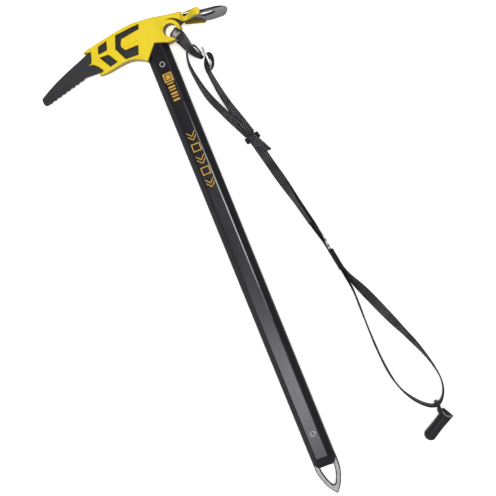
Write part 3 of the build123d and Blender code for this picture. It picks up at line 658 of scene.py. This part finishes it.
def woven(name, colour, light, column, pick, roughness=0.7, shine=0.3, relief=0.00035):
    """Nylon webbing: columns of yarn that dip under the cross threads, every second one in turn."""
    material = bpy.data.materials.new(name)
    material.use_nodes = True
    nodes, links = material.node_tree.nodes, material.node_tree.links
    shader = nodes["Principled BSDF"]
    work = arithmetic(material.node_tree)
    cloth = nodes.new("ShaderNodeUVMap")
    cloth.uv_map = "cloth"
    split = nodes.new("ShaderNodeSeparateXYZ")
    links.new(cloth.outputs["UV"], split.inputs["Vector"])
    across = work("DIVIDE", split.outputs["X"], column)
    row = work("ADD", work("DIVIDE", split.outputs["Y"], pick),
               work("MULTIPLY", work("FLOOR", across), 0.5))
    crown = work("SINE", work("MULTIPLY", work("FRACT", across), math.pi))
    dip = work("ABSOLUTE", work("SINE", work("MULTIPLY", row, math.pi)))
    height = work("MULTIPLY", work("POWER", crown, 0.6), work("ADD", work("MULTIPLY", dip, 0.75), 0.25))
    where = nodes.new("ShaderNodeTexCoord")
    fuzz = nodes.new("ShaderNodeTexNoise")
    fuzz.inputs["Scale"].default_value = 900
    fuzz.inputs["Detail"].default_value = 3
    links.new(where.outputs["Object"], fuzz.inputs["Vector"])
    slow = nodes.new("ShaderNodeTexNoise")
    slow.inputs["Scale"].default_value = 60
    links.new(where.outputs["Object"], slow.inputs["Vector"])
    dents = nodes.new("ShaderNodeBump")
    dents.inputs["Distance"].default_value = relief
    dents.inputs["Strength"].default_value = 0.9
    links.new(work("ADD", height, work("MULTIPLY", fuzz.outputs["Fac"], 0.35)), dents.inputs["Height"])
    links.new(dents.outputs["Normal"], shader.inputs["Normal"])
    shades = nodes.new("ShaderNodeValToRGB")
    shades.color_ramp.elements[0].position, shades.color_ramp.elements[0].color = 0.45, (*colour, 1)
    shades.color_ramp.elements[1].position, shades.color_ramp.elements[1].color = 1.0, (*light, 1)
    selvedge = work("GREATER_THAN", EDGE_BAND, work("ABSOLUTE", split.outputs["X"]))
    mixed = work("MULTIPLY", height, work("ADD", work("MULTIPLY", slow.outputs["Fac"], 0.9), 0.45))
    links.new(work("MULTIPLY", mixed, work("ADD", work("MULTIPLY", selvedge, 0.4), 0.6)),
              shades.inputs["Fac"])
    links.new(shades.outputs["Color"], shader.inputs["Base Color"])
    shader.inputs["Roughness"].default_value = roughness
    shader.inputs["Specular IOR Level"].default_value = shine
    return material


def line_of(route):
    """Points along the smooth line that a strap follows through its route on the ground."""
    curve = bpy.data.curves.new("route", "CURVE")
    curve.dimensions = "3D"
    spline = curve.splines.new("NURBS")
    spline.points.add(len(route) - 1)
    for knot, at in zip(spline.points, route):
        knot.co = (at[0], at[1], at[2] if len(at) > 2 else 0.0, 1)
    spline.order_u = 3
    spline.use_endpoint_u = True
    spline.resolution_u = 14
    holder = bpy.data.objects.new("route", curve)
    mesh = bpy.data.meshes.new_from_object(holder)
    points = np.array([v.co for v in mesh.vertices])
    bpy.data.objects.remove(holder)
    return points


def along(points):
    """The length so far at every point of a line."""
    return np.concatenate([[0], np.cumsum(np.linalg.norm(np.diff(points, axis=0), axis=1))])


def strap_skin(name, points, across, half_width, half_thick, flat_ends=True):
    """Webbing about a line: across is the direction of its width, and its edges are rounded."""
    edge = half_thick * 0.9
    section = []
    for side in (1, -1):
        turns = np.linspace(math.pi / 2, -math.pi / 2, 5)
        if side < 0:
            turns = turns - math.pi
        section += [(side * 1.0, edge * math.cos(t), half_thick * math.sin(t)) for t in turns]
        section += [(side * -0.0, 0.0, -side * half_thick)]
    length = along(points)
    ahead = np.gradient(points, axis=0)
    ahead /= np.linalg.norm(ahead, axis=1)[:, None]
    across = across - (across * ahead).sum(1)[:, None] * ahead
    across /= np.linalg.norm(across, axis=1)[:, None]
    up = np.cross(ahead, across)
    half_width = np.broadcast_to(half_width, len(points))
    made = bmesh.new()
    cloth = made.loops.layers.uv.new("cloth")
    rows, spots = [], []
    for p, w, n, h, s in zip(points, across, up, half_width, length):
        row, spot = [], []
        for out, bulge, lift in section:
            reach = out * (h - edge) + bulge
            row.append(made.verts.new(p + w * reach + n * lift))
            spot.append((reach * 1000, s * 1000))
        rows.append(row)
        spots.append(spot)
    count = len(section)
    for r in range(len(rows) - 1):
        for i in range(count):
            j = (i + 1) % count
            face = made.faces.new((rows[r][i], rows[r][j], rows[r + 1][j], rows[r + 1][i]))
            for loop, spot in zip(face.loops, (spots[r][i], spots[r][j], spots[r + 1][j], spots[r + 1][i])):
                loop[cloth].uv = spot
            face.smooth = True
    made.faces.new(rows[0])
    made.faces.new(reversed(rows[-1]))
    bmesh.ops.recalc_face_normals(made, faces=made.faces)
    mesh = bpy.data.meshes.new(name)
    made.to_mesh(mesh)
    made.free()
    return mesh


def strap(name, route, tilts, low, offset=0.0, width=WEB_WIDTH, thick=WEB_THICK, longer=(0.0, 0.0)):
    """A strap on the ground: tilts says how far it stands on edge along its length, in degrees, and
    low how high its lower edge is. An offset puts it beside or above the line, along its thickness."""
    line = line_of([(a, b, 0.0) for a, b in route])
    length = along(line)
    share = length / length[-1]
    for end, more in ((0, longer[0]), (-1, longer[1])):
        if more:
            outward = line[end] - line[1 if end == 0 else -2]
            outward = outward / np.linalg.norm(outward)
            line = np.insert(line, 0 if end == 0 else len(line), line[end] + outward * more, axis=0)
            share = np.insert(share, 0 if end == 0 else len(share), share[end])
    length = along(line)
    wobble = 2.0 * np.sin(length / 0.017) + 1.5 * np.sin(length / 0.0071 + 1.0)
    tilt = np.radians(np.interp(share, *zip(*tilts)) + wobble * np.clip(share * 12, 0, 1)
                      * np.clip((1 - share) * 12, 0, 1))
    kernel = np.hanning(15) / np.hanning(15).sum()
    tilt = np.convolve(np.pad(tilt, 7, mode="edge"), kernel, mode="valid")
    ahead = np.gradient(line, axis=0)
    ahead /= np.linalg.norm(ahead, axis=1)[:, None]
    left = np.stack([-ahead[:, 1], ahead[:, 0], np.zeros(len(line))], axis=1)
    across = left * np.cos(tilt)[:, None] + np.array([0, 0, 1]) * np.sin(tilt)[:, None]
    up = np.cross(ahead, across)
    standing, lying = np.abs(np.sin(tilt)), np.abs(np.cos(tilt))
    line[:, 2] = np.interp(share, *zip(*low)) + width / 2 * standing + thick / 2 * lying
    line = line + up * offset
    return strap_skin(name, line, across, width / 2, thick / 2), line


AS_BUILT = Matrix.Identity(4)
left_strand = [(0.0650, 0.2748), (0.0627, 0.2676), (0.0615, 0.2588), (0.0622, 0.2472), (0.0640, 0.2350),
               (0.0668, 0.2195), (0.0712, 0.2048), (0.0772, 0.1910), (0.0844, 0.1750), (0.0925, 0.1600),
               (0.0998, 0.1448)]
right_strand = [(0.1024, 0.1452), (0.0964, 0.1668), (0.0916, 0.1843), (0.0880, 0.2005), (0.0853, 0.2150),
                (0.0834, 0.2291), (0.0820, 0.2402)]
strap_eye = [(0.0818, 0.2428), (0.0826, 0.2488), (0.0852, 0.2546), (0.0880, 0.2598), (0.0910, 0.2602),
             (0.0925, 0.2556), (0.0918, 0.2490), (0.0892, 0.2432), (0.0850, 0.2408)]
main_strap = [(0.1012, 0.1444), (0.1269, 0.0310), (0.1318, 0.0080)]
paired_right = [(0.13342, 0.00649), (0.13784, -0.01572), (0.14163, -0.03378), (0.14844, -0.07080)]
outer_strand = [(0.1588, -0.0933), (0.1680, -0.1153), (0.1776, -0.1396), (0.1862, -0.1607),
                (0.1939, -0.1787), (0.2004, -0.1952), (0.2058, -0.2118), (0.2101, -0.2289),
                (0.2120, -0.2440), (0.2100, -0.2567), (0.2050, -0.2668), (0.1975, -0.2732),
                (0.1885, -0.2736), (0.1794, -0.2676)]
inner_strand = [(0.1704, -0.2580), (0.1629, -0.2470), (0.1569, -0.2344), (0.1525, -0.2180),
                (0.1497, -0.1956), (0.1485, -0.1687), (0.1486, -0.1399), (0.1492, -0.1148),
                (0.1493, -0.0910)]
paired_left = [(0.14597, -0.07120), (0.13917, -0.03422), (0.13537, -0.01628), (0.13098, 0.00591)]

webbing_black = woven("webbing_black", (0.003, 0.003, 0.0035), (0.17, 0.167, 0.18), 2.6, 3.2)
left_mesh, left_line = strap("strap_left_webbing", left_strand,
                             [(0, 84), (0.1, 79), (0.2, 73), (0.31, 63), (0.48, 52), (0.65, 46), (0.8, 33),
                              (0.9, 16), (1, 2)],
                             [(0, 0.0004), (0.7, 0.0004), (0.9, 0.0012), (1, 0.0018)])
strap_left = piece("strap_left_webbing", left_mesh, webbing_black, "leash", ["strap_left"],
                   AS_BUILT)
right_mesh, right_line = strap("strap_right_webbing", right_strand + strap_eye,
                               [(0, 0), (0.18, 8), (0.25, 18), (0.3, 30), (0.43, 44), (0.53, 53),
                                (0.61, 56), (0.67, 60), (0.76, 60), (0.8, 66), (0.86, 67), (0.93, 76),
                                (1, 78)],
                               [(0, 0.0038), (0.12, 0.0030), (0.35, 0.0006), (0.6, 0.0006), (0.75, 0.003),
                                (1, 0.0035)])
strap_right = piece("strap_right_webbing", right_mesh, webbing_black, "leash",
                    ["strap_right", "strap_eye"], AS_BUILT)
main_tilts = [(0, 0), (0.47, 0), (0.53, 25), (0.59, 48), (0.7, 61), (0.85, 63), (0.95, 63), (1, 67)]
main_low = [(0, 0.0028), (0.7, 0.0027), (1, 0.0016)]
over_mesh, over_line = strap("strap_over_webbing", main_strap, main_tilts, main_low, WEB_GAP,
                             longer=(0, 0.002))
strap_over = piece("strap_over_webbing", over_mesh, webbing_black, "leash", ["strap_over"],
                   AS_BUILT)
under_mesh, under_line = strap("strap_under_webbing", main_strap, main_tilts, main_low, -WEB_GAP,
                               longer=(0, 0.002))
strap_under = piece("strap_under_webbing", under_mesh, webbing_black, "leash",
                    ["strap_under"], AS_BUILT)
loop_mesh, loop_line = strap(
    "wrist_loop_webbing", paired_right + outer_strand + inner_strand + paired_left,
    [(0, 67), (0.012, 72), (0.037, 84), (0.06, 89), (0.10, 89), (0.128, 75), (0.162, 42), (0.199, 12),
     (0.235, 12), (0.272, 33), (0.309, 57), (0.346, 66), (0.381, 79), (0.416, 93), (0.432, 96), (0.484, 97),
     (0.5, 82), (0.524, 75), (0.546, 76), (0.576, 82), (0.6, 84), (0.65, 80), (0.83, 80), (0.87, 82),
     (0.94, 87), (0.963, 84), (0.988, 72), (1, 67)],
    [(0, 0.0023), (0.05, 0.0016), (0.1, 0.0016), (0.2, 0.0008), (0.5, 0.0008), (0.56, 0.0016),
     (0.7, 0.0008), (0.9, 0.0016), (1, 0.0010)], longer=(0.002, 0.002))
wrist_loop = piece("wrist_loop_webbing", loop_mesh, webbing_black, "leash", ["wrist_loop"],
                   AS_BUILT)


# ---- Sling ----
# A short loop of the same webbing, sewn together, that goes up through the hole in the head and
# back over its raised ring. It narrows where it is gathered round the steel link.
SLING_ANGLE, SLING_START = math.radians(-57.7), (57.8, 301.0)
sling_side_on = [(0, 15.4), (0.4, 24.0, SMOOTH), (1.2, 33.0, SMOOTH), (1.8, 36.9, SMOOTH),
                 (2.8, 37.8, SMOOTH), (4.2, 37.65, SMOOTH), (5.8, 37.45, SMOOTH), (7.6, 37.2, SMOOTH),
                 (9.4, 36.95, SMOOTH), (11.0, 36.4, SMOOTH), (13.4, 34.2, SMOOTH), (24.0, 21.5, SMOOTH),
                 (36.0, 9.4, SMOOTH), (44.6, 5.0, SMOOTH), (46.6, 3.4, SMOOTH), (45.0, 1.9, SMOOTH),
                 (36.0, 1.7, SMOOTH), (24.0, 2.4, SMOOTH), (10.0, 9.5, SMOOTH), (2.4, 13.2, SMOOTH)]
sling_line = traced(sling_side_on, steps=5)
sling_line = sling_line + [sling_line[0]]
sling_way = Vector((math.cos(SLING_ANGLE), math.sin(SLING_ANGLE), 0))
sling_across = Vector((0, 0, 1)).cross(sling_way)
sling_foot = Vector((*SLING_START, 0))
sling_points = np.array([(sling_foot + sling_way * s + Vector((0, 0, h))) * 0.001 for s, h in sling_line])
sling_reach = np.array([s for s, _ in sling_line])
sling_halves = np.interp(sling_reach, [0, 5, 12, 20, 26, 31, 38, 47],
                         [5.7, 6.1, 6.6, 6.1, 5.2, 4.3, 3.7, 2.6]) * 0.001
sling_shift = np.interp(sling_reach, [0, 5, 13, 20, 26, 31, 38, 47],
                        [-0.6, -0.3, 0.5, -0.7, -2.2, -3.1, -3.0, -1.2]) * 0.001
sling_points += sling_shift[:, None] * np.array(sling_across)
webbing_smooth = woven("webbing_smooth", (0.003, 0.003, 0.0035), (0.04, 0.039, 0.044), 2.6, 3.0, 0.23, 0.75,
                       0.00008)
sling_wide = np.tile(np.array(sling_across), (len(sling_points), 1))
sling_mesh = strap_skin("sling_webbing", sling_points, sling_wide, sling_halves, WEB_THICK / 2)
sling = piece("sling_webbing", sling_mesh, webbing_smooth, "leash", ["sling_band"],
              AS_BUILT)
side_line = line_of([(0.0722, 0.2778, 0.0125), (0.0752, 0.2796, 0.0105), (0.0783, 0.2776, 0.0085),
                     (0.0800, 0.2735, 0.0072), (0.0808, 0.2695, 0.0070), (0.0822, 0.2655, 0.0072)])
side_up = np.tile(np.array([-0.031, -0.22, 0.975]), (len(side_line), 1))
side_mesh = strap_skin("sling_side_webbing", side_line, side_up, 0.0042, 0.0012)
sling_side = piece("sling_side_webbing", side_mesh, webbing_smooth, "leash", (), AS_BUILT)


# ---- Steel link ----
# A slim oval of polished round bar between the sling and the strap's sewn eye. It stands on edge
# between them and can't open.
RING_AT, RING_TURN, RING_WIRE = (86.6, 258.7, 9.2), math.radians(-88), 1.35
RING_HALF, RING_END = 6.3, 7.4
link_path = [(RING_HALF + RING_END * math.cos(t), RING_END * math.sin(t))
             for t in np.linspace(-math.pi / 2, math.pi / 2, 15)]
link_path += [(-a, -b) for a, b in link_path]
on_edge = Matrix.Rotation(math.pi / 2, 4, "X")
link_place = Matrix.Translation(RING_AT) @ Matrix.Rotation(RING_TURN, 4, "Z") @ on_edge
link_rings = []
for before, at, after in zip([link_path[-1], *link_path[:-1]], link_path, [*link_path[1:], link_path[0]]):
    way = (Vector((*after, 0)) - Vector((*before, 0))).normalized()
    out = way.cross(Vector((0, 0, 1)))
    link_rings.append([Vector((*at, 0)) + (out * math.cos(t) + Vector((0, 0, math.sin(t)))) * RING_WIRE
                       for t in np.linspace(0, 2 * math.pi, 17)[:-1]])
link_mesh = lofted("link_steel", link_rings, closed=True)
link_mesh.transform(link_place)
link_mesh.shade_smooth()
ring_steel = finish_of("ring_steel", (0.95, 0.95, 0.96), 0.36, 0.6, grain=0.0004, relief=0.00001,
                       mottle=0.05, spread=0.04)
link_steel = piece("link_steel", link_mesh, ring_steel, "leash", ["link_ring"], GROUND)


# ---- Adjuster ----
# A moulded black frame, 17 x 8 mm, that the doubled strap threads through, with a lug at each side
# to pull it by. The strap's sheared tail comes out over it.
BUCKLE_AT, STRAP_ANGLE = (102.4, 139.2), -76.7


def on_strap(place, angle):
    """X across the strap, Y against its run, Z up, in millimetres."""
    return GROUND @ Matrix.Translation((*place, 0)) @ Matrix.Rotation(math.radians(angle + 90), 4, "Z")


def block(x, y, z, centre, half, radius):
    """Distances to a box with rounded edges."""
    a, b, c = (np.abs(v - m) - h + radius for v, m, h in zip((x, y, z), centre, half))
    outside = np.sqrt(np.maximum(a, 0) ** 2 + np.maximum(b, 0) ** 2 + np.maximum(c, 0) ** 2)
    return outside + np.minimum(np.maximum(np.maximum(a, b), c), 0) - radius


buckle_low, buckle_step = (-11.5, -6.0, -0.6), 0.28
x, y, z = grid(buckle_low, (11.5, 6.0, 9.0), buckle_step)
frame_shape = block(x, y, z, (0, 0, 3.85), (8.6, 3.9, 3.6), 1.3)
for side in (1, -1):
    lug = block(x, y, z, (side * 8.1, -side * 0.35, 3.4), (2.2, 4.1, 2.6), 1.3)
    frame_shape = joined(frame_shape, lug, 1.2)
    dimple = np.sqrt((x - side * 8.6) ** 2 + (y + side * 0.35) ** 2 + (z - 8.1) ** 2) - 3.0
    frame_shape = both(frame_shape, -dimple, 0.4)
frame_shape = both(frame_shape, -block(x, y, z, (0, 0, 3.7), (7.0, 12, 2.5), 0.8), 0.5)
buckle_black = finish_of("buckle_black", (0.006, 0.006, 0.007), 0.42, shine=0.4, grain=0.0005,
                         relief=0.00003)
buckle_mesh = moulded("adjuster_frame", frame_shape, buckle_low, buckle_step)
adjuster = piece("adjuster_frame", buckle_mesh, buckle_black, "adjuster",
                 ["adjuster_buckle"], on_strap(BUCKLE_AT, STRAP_ANGLE))
tail_line = line_of([(0.1010, 0.1445, 0.0066), (0.1013, 0.1433, 0.0084), (0.1025, 0.1397, 0.0089),
                     (0.1045, 0.1348, 0.0082), (0.1068, 0.1300, 0.0076), (0.1092, 0.1254, 0.0074),
                     (0.1138, 0.1160, 0.0074)])
tail_across = np.tile(np.array([0.9, 0.435, 0.0]), (len(tail_line), 1))
tail_mesh = strap_skin("strap_tail_webbing", tail_line, tail_across, 0.0057, 0.0008)
tail_way, tail_side = Vector((0.435, -0.9, 0)), Vector((0.9, 0.435, 0))
tail_tip, TAIL_SLANT, SHEARED = Vector(tail_line[-1]), 0.55, 0.012
for corner in tail_mesh.vertices:
    near_tip = max(0.0, 1 - (tail_tip - corner.co).dot(tail_way) / SHEARED)
    corner.co += tail_way * (corner.co - tail_tip).dot(tail_side) * TAIL_SLANT * near_tip
strap_tail = piece("strap_tail_webbing", tail_mesh, webbing_black, "adjuster",
                   ["strap_tail"], AS_BUILT)


# ---- Keeper and blank tag ----
# A woven sleeve, 29 mm long and sewn at both ends, that slides along the two strands to close the
# loop. Above it a plain pale tag is folded over a strand's edge and held by two sewn tacks.
KEEPER_AT, KEEPER_ANGLE, KEEPER_LENGTH = (143.55, -48.7), -81.0, 29.0
keeper_rings = []
keeper_stops = [(-0.5, 0.0), (-0.492, 0.12), (-0.47, 0.2), (-0.40, 0.16), (-0.36, 0.0), (0.0, 0.06),
                (0.36, 0.0), (0.40, 0.16), (0.47, 0.2), (0.492, 0.12), (0.5, 0.0)]
for share, swell in keeper_stops:
    section = rounded([(3.1 + swell, 7.3 + swell), (3.1 + swell, -7.3 - swell),
                       (-3.1 - swell, -7.3 - swell), (-3.1 - swell, 7.3 + swell)], 2.2, 5)
    keeper_rings.append([(a, share * KEEPER_LENGTH, b + 7.6) for a, b in section])
bore = rounded([(2.5, 6.7), (2.5, -6.7), (-2.5, -6.7), (-2.5, 6.7)], 1.6, 5)
keeper_rings += [[(a, share * KEEPER_LENGTH, b + 7.6) for a, b in bore] for share in (0.5, 0.0, -0.5)]
keeper_mesh = lofted("keeper_sleeve_woven", keeper_rings, closed=True)
keeper_cloth = keeper_mesh.uv_layers.new(name="cloth")
for loop, spot in zip(keeper_mesh.loops, keeper_cloth.data):
    at = keeper_mesh.vertices[loop.vertex_index].co
    spot.uv = (at.x + at.z, at.y)
keeper_mesh.shade_smooth()
keeper_black = woven("keeper_black", (0.003, 0.003, 0.0035), (0.10, 0.098, 0.11), 2.4, 2.4)
keeper = piece("keeper_sleeve_woven", keeper_mesh, keeper_black, "keeper",
               ["keeper_sleeve"], on_strap(KEEPER_AT, KEEPER_ANGLE))
tag_rings = []
for share in np.linspace(0, 1, 9):
    middle = Vector((135.6 + 4.2 * share, -10.6 - 21.8 * share))
    outer_side, inner_side = 4.4 - 1.5 * share, 2.9 - 3.8 * share
    top = (outer_side + inner_side) / 2
    tag_fold = [(outer_side - 0.1, 4.0), (outer_side, 9.0), (outer_side - 0.1, 13.4),
                (outer_side - 0.4, 14.5), (top, 14.9), (inner_side, 14.5), (inner_side + 0.05, 14.15),
                (top, 14.5), (outer_side - 0.55, 14.1), (outer_side - 0.45, 13.3), (outer_side - 0.4, 9.0),
                (outer_side - 0.5, 4.0)]
    tag_rings.append([(middle.x + out * 0.978, middle.y + out * 0.208, height) for out, height in tag_fold])
tag_mesh = lofted("wrist_tag", tag_rings)
label_white = finish_of("label_white", (0.60, 0.60, 0.61), 0.7, grain=0.0005, relief=0.00006, mottle=0.15)
tacked = [14.2 < f.center.z and -f.center.y % 9.0 < 2.5 and f.center.y < -16.0 for f in tag_mesh.polygons]
tag = piece("wrist_tag", tag_mesh, label_white, "leash", ["wrist_label"], GROUND)
in_part(tag_mesh, finish_of("tack_thread", (0.10, 0.10, 0.10), 0.7, grain=0.0005, relief=0.00006), tacked)
even_shading(tag, 50)


# ---- Point cap ----
# A soft rubber cap, 16 mm across and 44.5 mm long: a blind tube with a ribbed mouth that is paler
# grey along one ridge, moulded with a flat neck and a loop that is threaded on the strap.
# In its own place X runs from the mouth to the blind end, and its upper side is at negative Z.
MOUTH_AT, CAP_ANGLE = (204.0, -287.7, 8.25), math.radians(209.2)
CAP_R, CAP_LENGTH, CAP_BORE, CAP_DEPTH = 7.9, 44.5, 5.5, 32.0
cap_way = Vector((math.cos(CAP_ANGLE), math.sin(CAP_ANGLE), 0))
cap_side = Vector((math.sin(CAP_ANGLE), -math.cos(CAP_ANGLE), 0))
cap_turn = Matrix((cap_way, cap_side, cap_way.cross(cap_side))).transposed().to_4x4()
cap_place = GROUND @ Matrix.Translation(MOUTH_AT) @ cap_turn
cap_low, cap_step = (-1.2, -9.6, -9.6), 0.36
x, y, z = grid(cap_low, (46.0, 9.6, 9.6), cap_step)
round_way = np.sqrt(y * y + z * z)
dome = np.sqrt(np.maximum(x - (CAP_LENGTH - 6.6), 0) ** 2 * 1.25 + round_way ** 2)
dome = dome - CAP_R - 0.25 * np.cos(x * 2 * math.pi / 44)
cap_shape = np.maximum(dome, -x)
for at, proud in ((0.9, 0.55), (3.6, 0.35), (6.2, 0.35)):
    rib = np.sqrt((x - at) ** 2 + (round_way - CAP_R + 0.55) ** 2) - 0.55 - proud
    cap_shape = joined(cap_shape, rib, 0.35)
start, turn, end = (3.4, 7.0), (5.8, 2.4), (2.2, -4.2)
for (ax, ay), (bx, by) in ((start, turn), (turn, end)):
    span = ((x - ax) * (bx - ax) + (y - ay) * (by - ay)) / ((bx - ax) ** 2 + (by - ay) ** 2)
    span = np.clip(span, 0, 1)
    lift = np.sqrt(np.maximum(CAP_R ** 2 - (ay + span * (by - ay)) ** 2, 0))
    web = np.sqrt((x - ax - span * (bx - ax)) ** 2 + (y - ay - span * (by - ay)) ** 2
                  + (z + lift) ** 2) - 1.15
    cap_shape = joined(cap_shape, web, 0.6)
for (hx, hy), hole in (((3.0, 2.4), 1.7), ((9.3, -0.2), 1.5)):
    pit = np.sqrt((x - hx) ** 2 + (y - hy) ** 2) - hole
    cap_shape = both(cap_shape, -np.maximum(pit, 5.9 + z), 0.3)
bore_shape = both(round_way - CAP_BORE, x - CAP_DEPTH, 2.0)
cap_shape = both(cap_shape, -bore_shape, 0.5)
cap_rubber = finish_of("cap_rubber", (0.009, 0.009, 0.0105), 0.62, shine=0.35, grain=0.0006, relief=0.00006,
                       mottle=0.25)
cap_mesh = moulded("point_cap_rubber", cap_shape, cap_low, cap_step)
# Upper faces along this ridge by the mouth take a paler grey finish.
ridge = [(3.4, 10.0), (5.0, 6.7), (5.7, 2.5), (4.4, -2.3), (1.5, -4.5)]
pale_ridge_faces = []
for f in cap_mesh.polygons:
    at = Vector(f.center[:2])
    off = min((at - a - (b - a) * min(max((at - a).dot(b - a) / (b - a).length_squared, 0), 1)).length
              for a, b in zip([Vector(p) for p in ridge], [Vector(p) for p in ridge[1:]]))
    pale_ridge_faces.append(off < 1.2 and f.center.z < -1.0 and f.normal.z < -0.2)
cap = piece("point_cap_rubber", cap_mesh, cap_rubber, "cap", ["point_cap"], cap_place)
cap_pale_ridge = finish_of("cap_pale_ridge", (0.15, 0.15, 0.155), 0.6, grain=0.0006, relief=0.00006, mottle=0.25)
in_part(cap_mesh, cap_pale_ridge, pale_ridge_faces)

TAB_AT = (194.6, -272.6)
tab_low, tab_step = (-9.0, -19.0, -0.4), 0.36
x, y, z = grid(tab_low, (13.0, 6.5, 16.4), tab_step)
loop_shape = block(x, y, z, (0, 0, 7.8), (2.3, 4.3, 7.6), 1.2)
loop_shape = both(loop_shape, -block(x, y, z, (0, 0, 7.8), (9, 2.5, 6.4), 0.8), 0.5)
neck_outline = traced([(-2.1, -2.8), (2.1, -2.8), (2.6, -5.5, SMOOTH), (5.4, -9.6, SMOOTH),
                       (8.4, -13.6, SMOOTH), (6.5, -16.8, SMOOTH), (1.5, -13.6, SMOOTH),
                       (-2.8, -10.6, SMOOTH), (-2.0, -6.5, SMOOTH)])
flat_x, flat_y = np.broadcast_arrays(x[:, :, 0], y[:, :, 0])
neck_shape = both(distance_to(neck_outline, flat_x, flat_y)[:, :, None], np.abs(z - 8.4) - 3.6, 1.2)
tab_shape = joined(loop_shape, neck_shape, 1.0)
neck_mesh = moulded("cap_tab_rubber", tab_shape, tab_low, tab_step)
neck_place = GROUND @ Matrix.Translation((*TAB_AT, 0)) @ Matrix.Rotation(math.radians(-4), 4, "Z")
neck_mesh.transform(neck_place)
cap_tab = bpy.data.objects.new("cap_tab_rubber", neck_mesh)
bpy.context.scene.collection.objects.link(cap_tab)
neck_mesh.materials.append(cap_rubber)
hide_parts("cap_tab")
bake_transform(cap_tab)


# ---- Floor, light and camera ----
# A white table top that glows a little, one soft light overhead, a paler glow low on the left that
# the shaft's near face mirrors, and a camera that looks straight down.
TABLE_HALF, TABLE_GLOW, SKY_GLOW, ALL_ROUND = 0.7, 0.5, 9.8, 0.36
floor_mesh = bpy.data.meshes.new("table_top")
floor_mesh.from_pydata([(a * TABLE_HALF, b * TABLE_HALF, 0) for a,
                        b in ((-1, -1), (1, -1), (1, 1), (-1, 1))],
                       [], [(0, 1, 2, 3)])
floor = bpy.data.objects.new("table_top", floor_mesh)
bpy.context.scene.collection.objects.link(floor)
table_white = finish_of("table_white", (0.86, 0.86, 0.86), 0.9, mottle=0.0, relief=0.0, spread=0.0)
table_white.node_tree.nodes["Principled BSDF"].inputs["Emission Color"].default_value = (1, 1, 1, 1)
table_white.node_tree.nodes["Principled BSDF"].inputs["Emission Strength"].default_value = TABLE_GLOW
floor_mesh.materials.append(table_white)

world = bpy.data.worlds.new("studio")
bpy.context.scene.world = world
world.use_nodes = True
sky, wires = world.node_tree.nodes, world.node_tree.links
direction = sky.new("ShaderNodeTexCoord")
apart = sky.new("ShaderNodeSeparateXYZ")
wires.new(direction.outputs["Generated"], apart.inputs["Vector"])
sum_of = arithmetic(world.node_tree)
off_middle = sum_of("DIVIDE", sum_of("ADD", apart.outputs["Y"], 0.2), 0.068)
bell = sum_of("EXPONENT", sum_of("MULTIPLY", sum_of("MULTIPLY", off_middle, off_middle), -1.0), 0.0)
leftward = sky.new("ShaderNodeMapRange")
leftward.inputs["From Min"].default_value, leftward.inputs["From Max"].default_value = -0.09, -0.17
wires.new(apart.outputs["X"], leftward.inputs["Value"])
above = sky.new("ShaderNodeMapRange")
above.inputs["From Min"].default_value, above.inputs["From Max"].default_value = 0.55, 0.75
wires.new(apart.outputs["Z"], above.inputs["Value"])
glow = sum_of("MULTIPLY", sum_of("MULTIPLY", bell, leftward.outputs["Result"]), above.outputs["Result"])
wires.new(sum_of("MULTIPLY_ADD", glow, SKY_GLOW, ALL_ROUND), sky["Background"].inputs["Strength"])
sky["Background"].inputs["Color"].default_value = (0.96, 0.955, 1.0, 1)


def soft_light(name, at, aim, size, power):
    """A rectangular softbox at a place, turned towards a point."""
    lamp = bpy.data.lights.new(name, "AREA")
    lamp.shape, lamp.size, lamp.size_y, lamp.energy = "RECTANGLE", size[0], size[1], power
    holder = bpy.data.objects.new(name, lamp)
    holder.location = at
    holder.rotation_euler = (Vector(aim) - Vector(at)).to_track_quat("-Z", "Y").to_euler()
    bpy.context.scene.collection.objects.link(holder)


soft_light("overhead", (0.34, 0.07, 2.4), (0.03, 0.05, 0), (0.5, 1.5), 26)

CAMERA_AT, CAMERA_TURN, LENS = (0.0427, 0.0081, 1.1883), -22.155, 65.8
camera_data = bpy.data.cameras.new("camera")
camera_data.lens, camera_data.sensor_width = LENS, 36.0
camera = bpy.data.objects.new("camera", camera_data)
camera.location = CAMERA_AT
camera.rotation_euler = (0, 0, math.radians(CAMERA_TURN))
bpy.context.scene.collection.objects.link(camera)
bpy.context.scene.camera = camera
bpy.context.scene.view_settings.view_transform = "Standard"
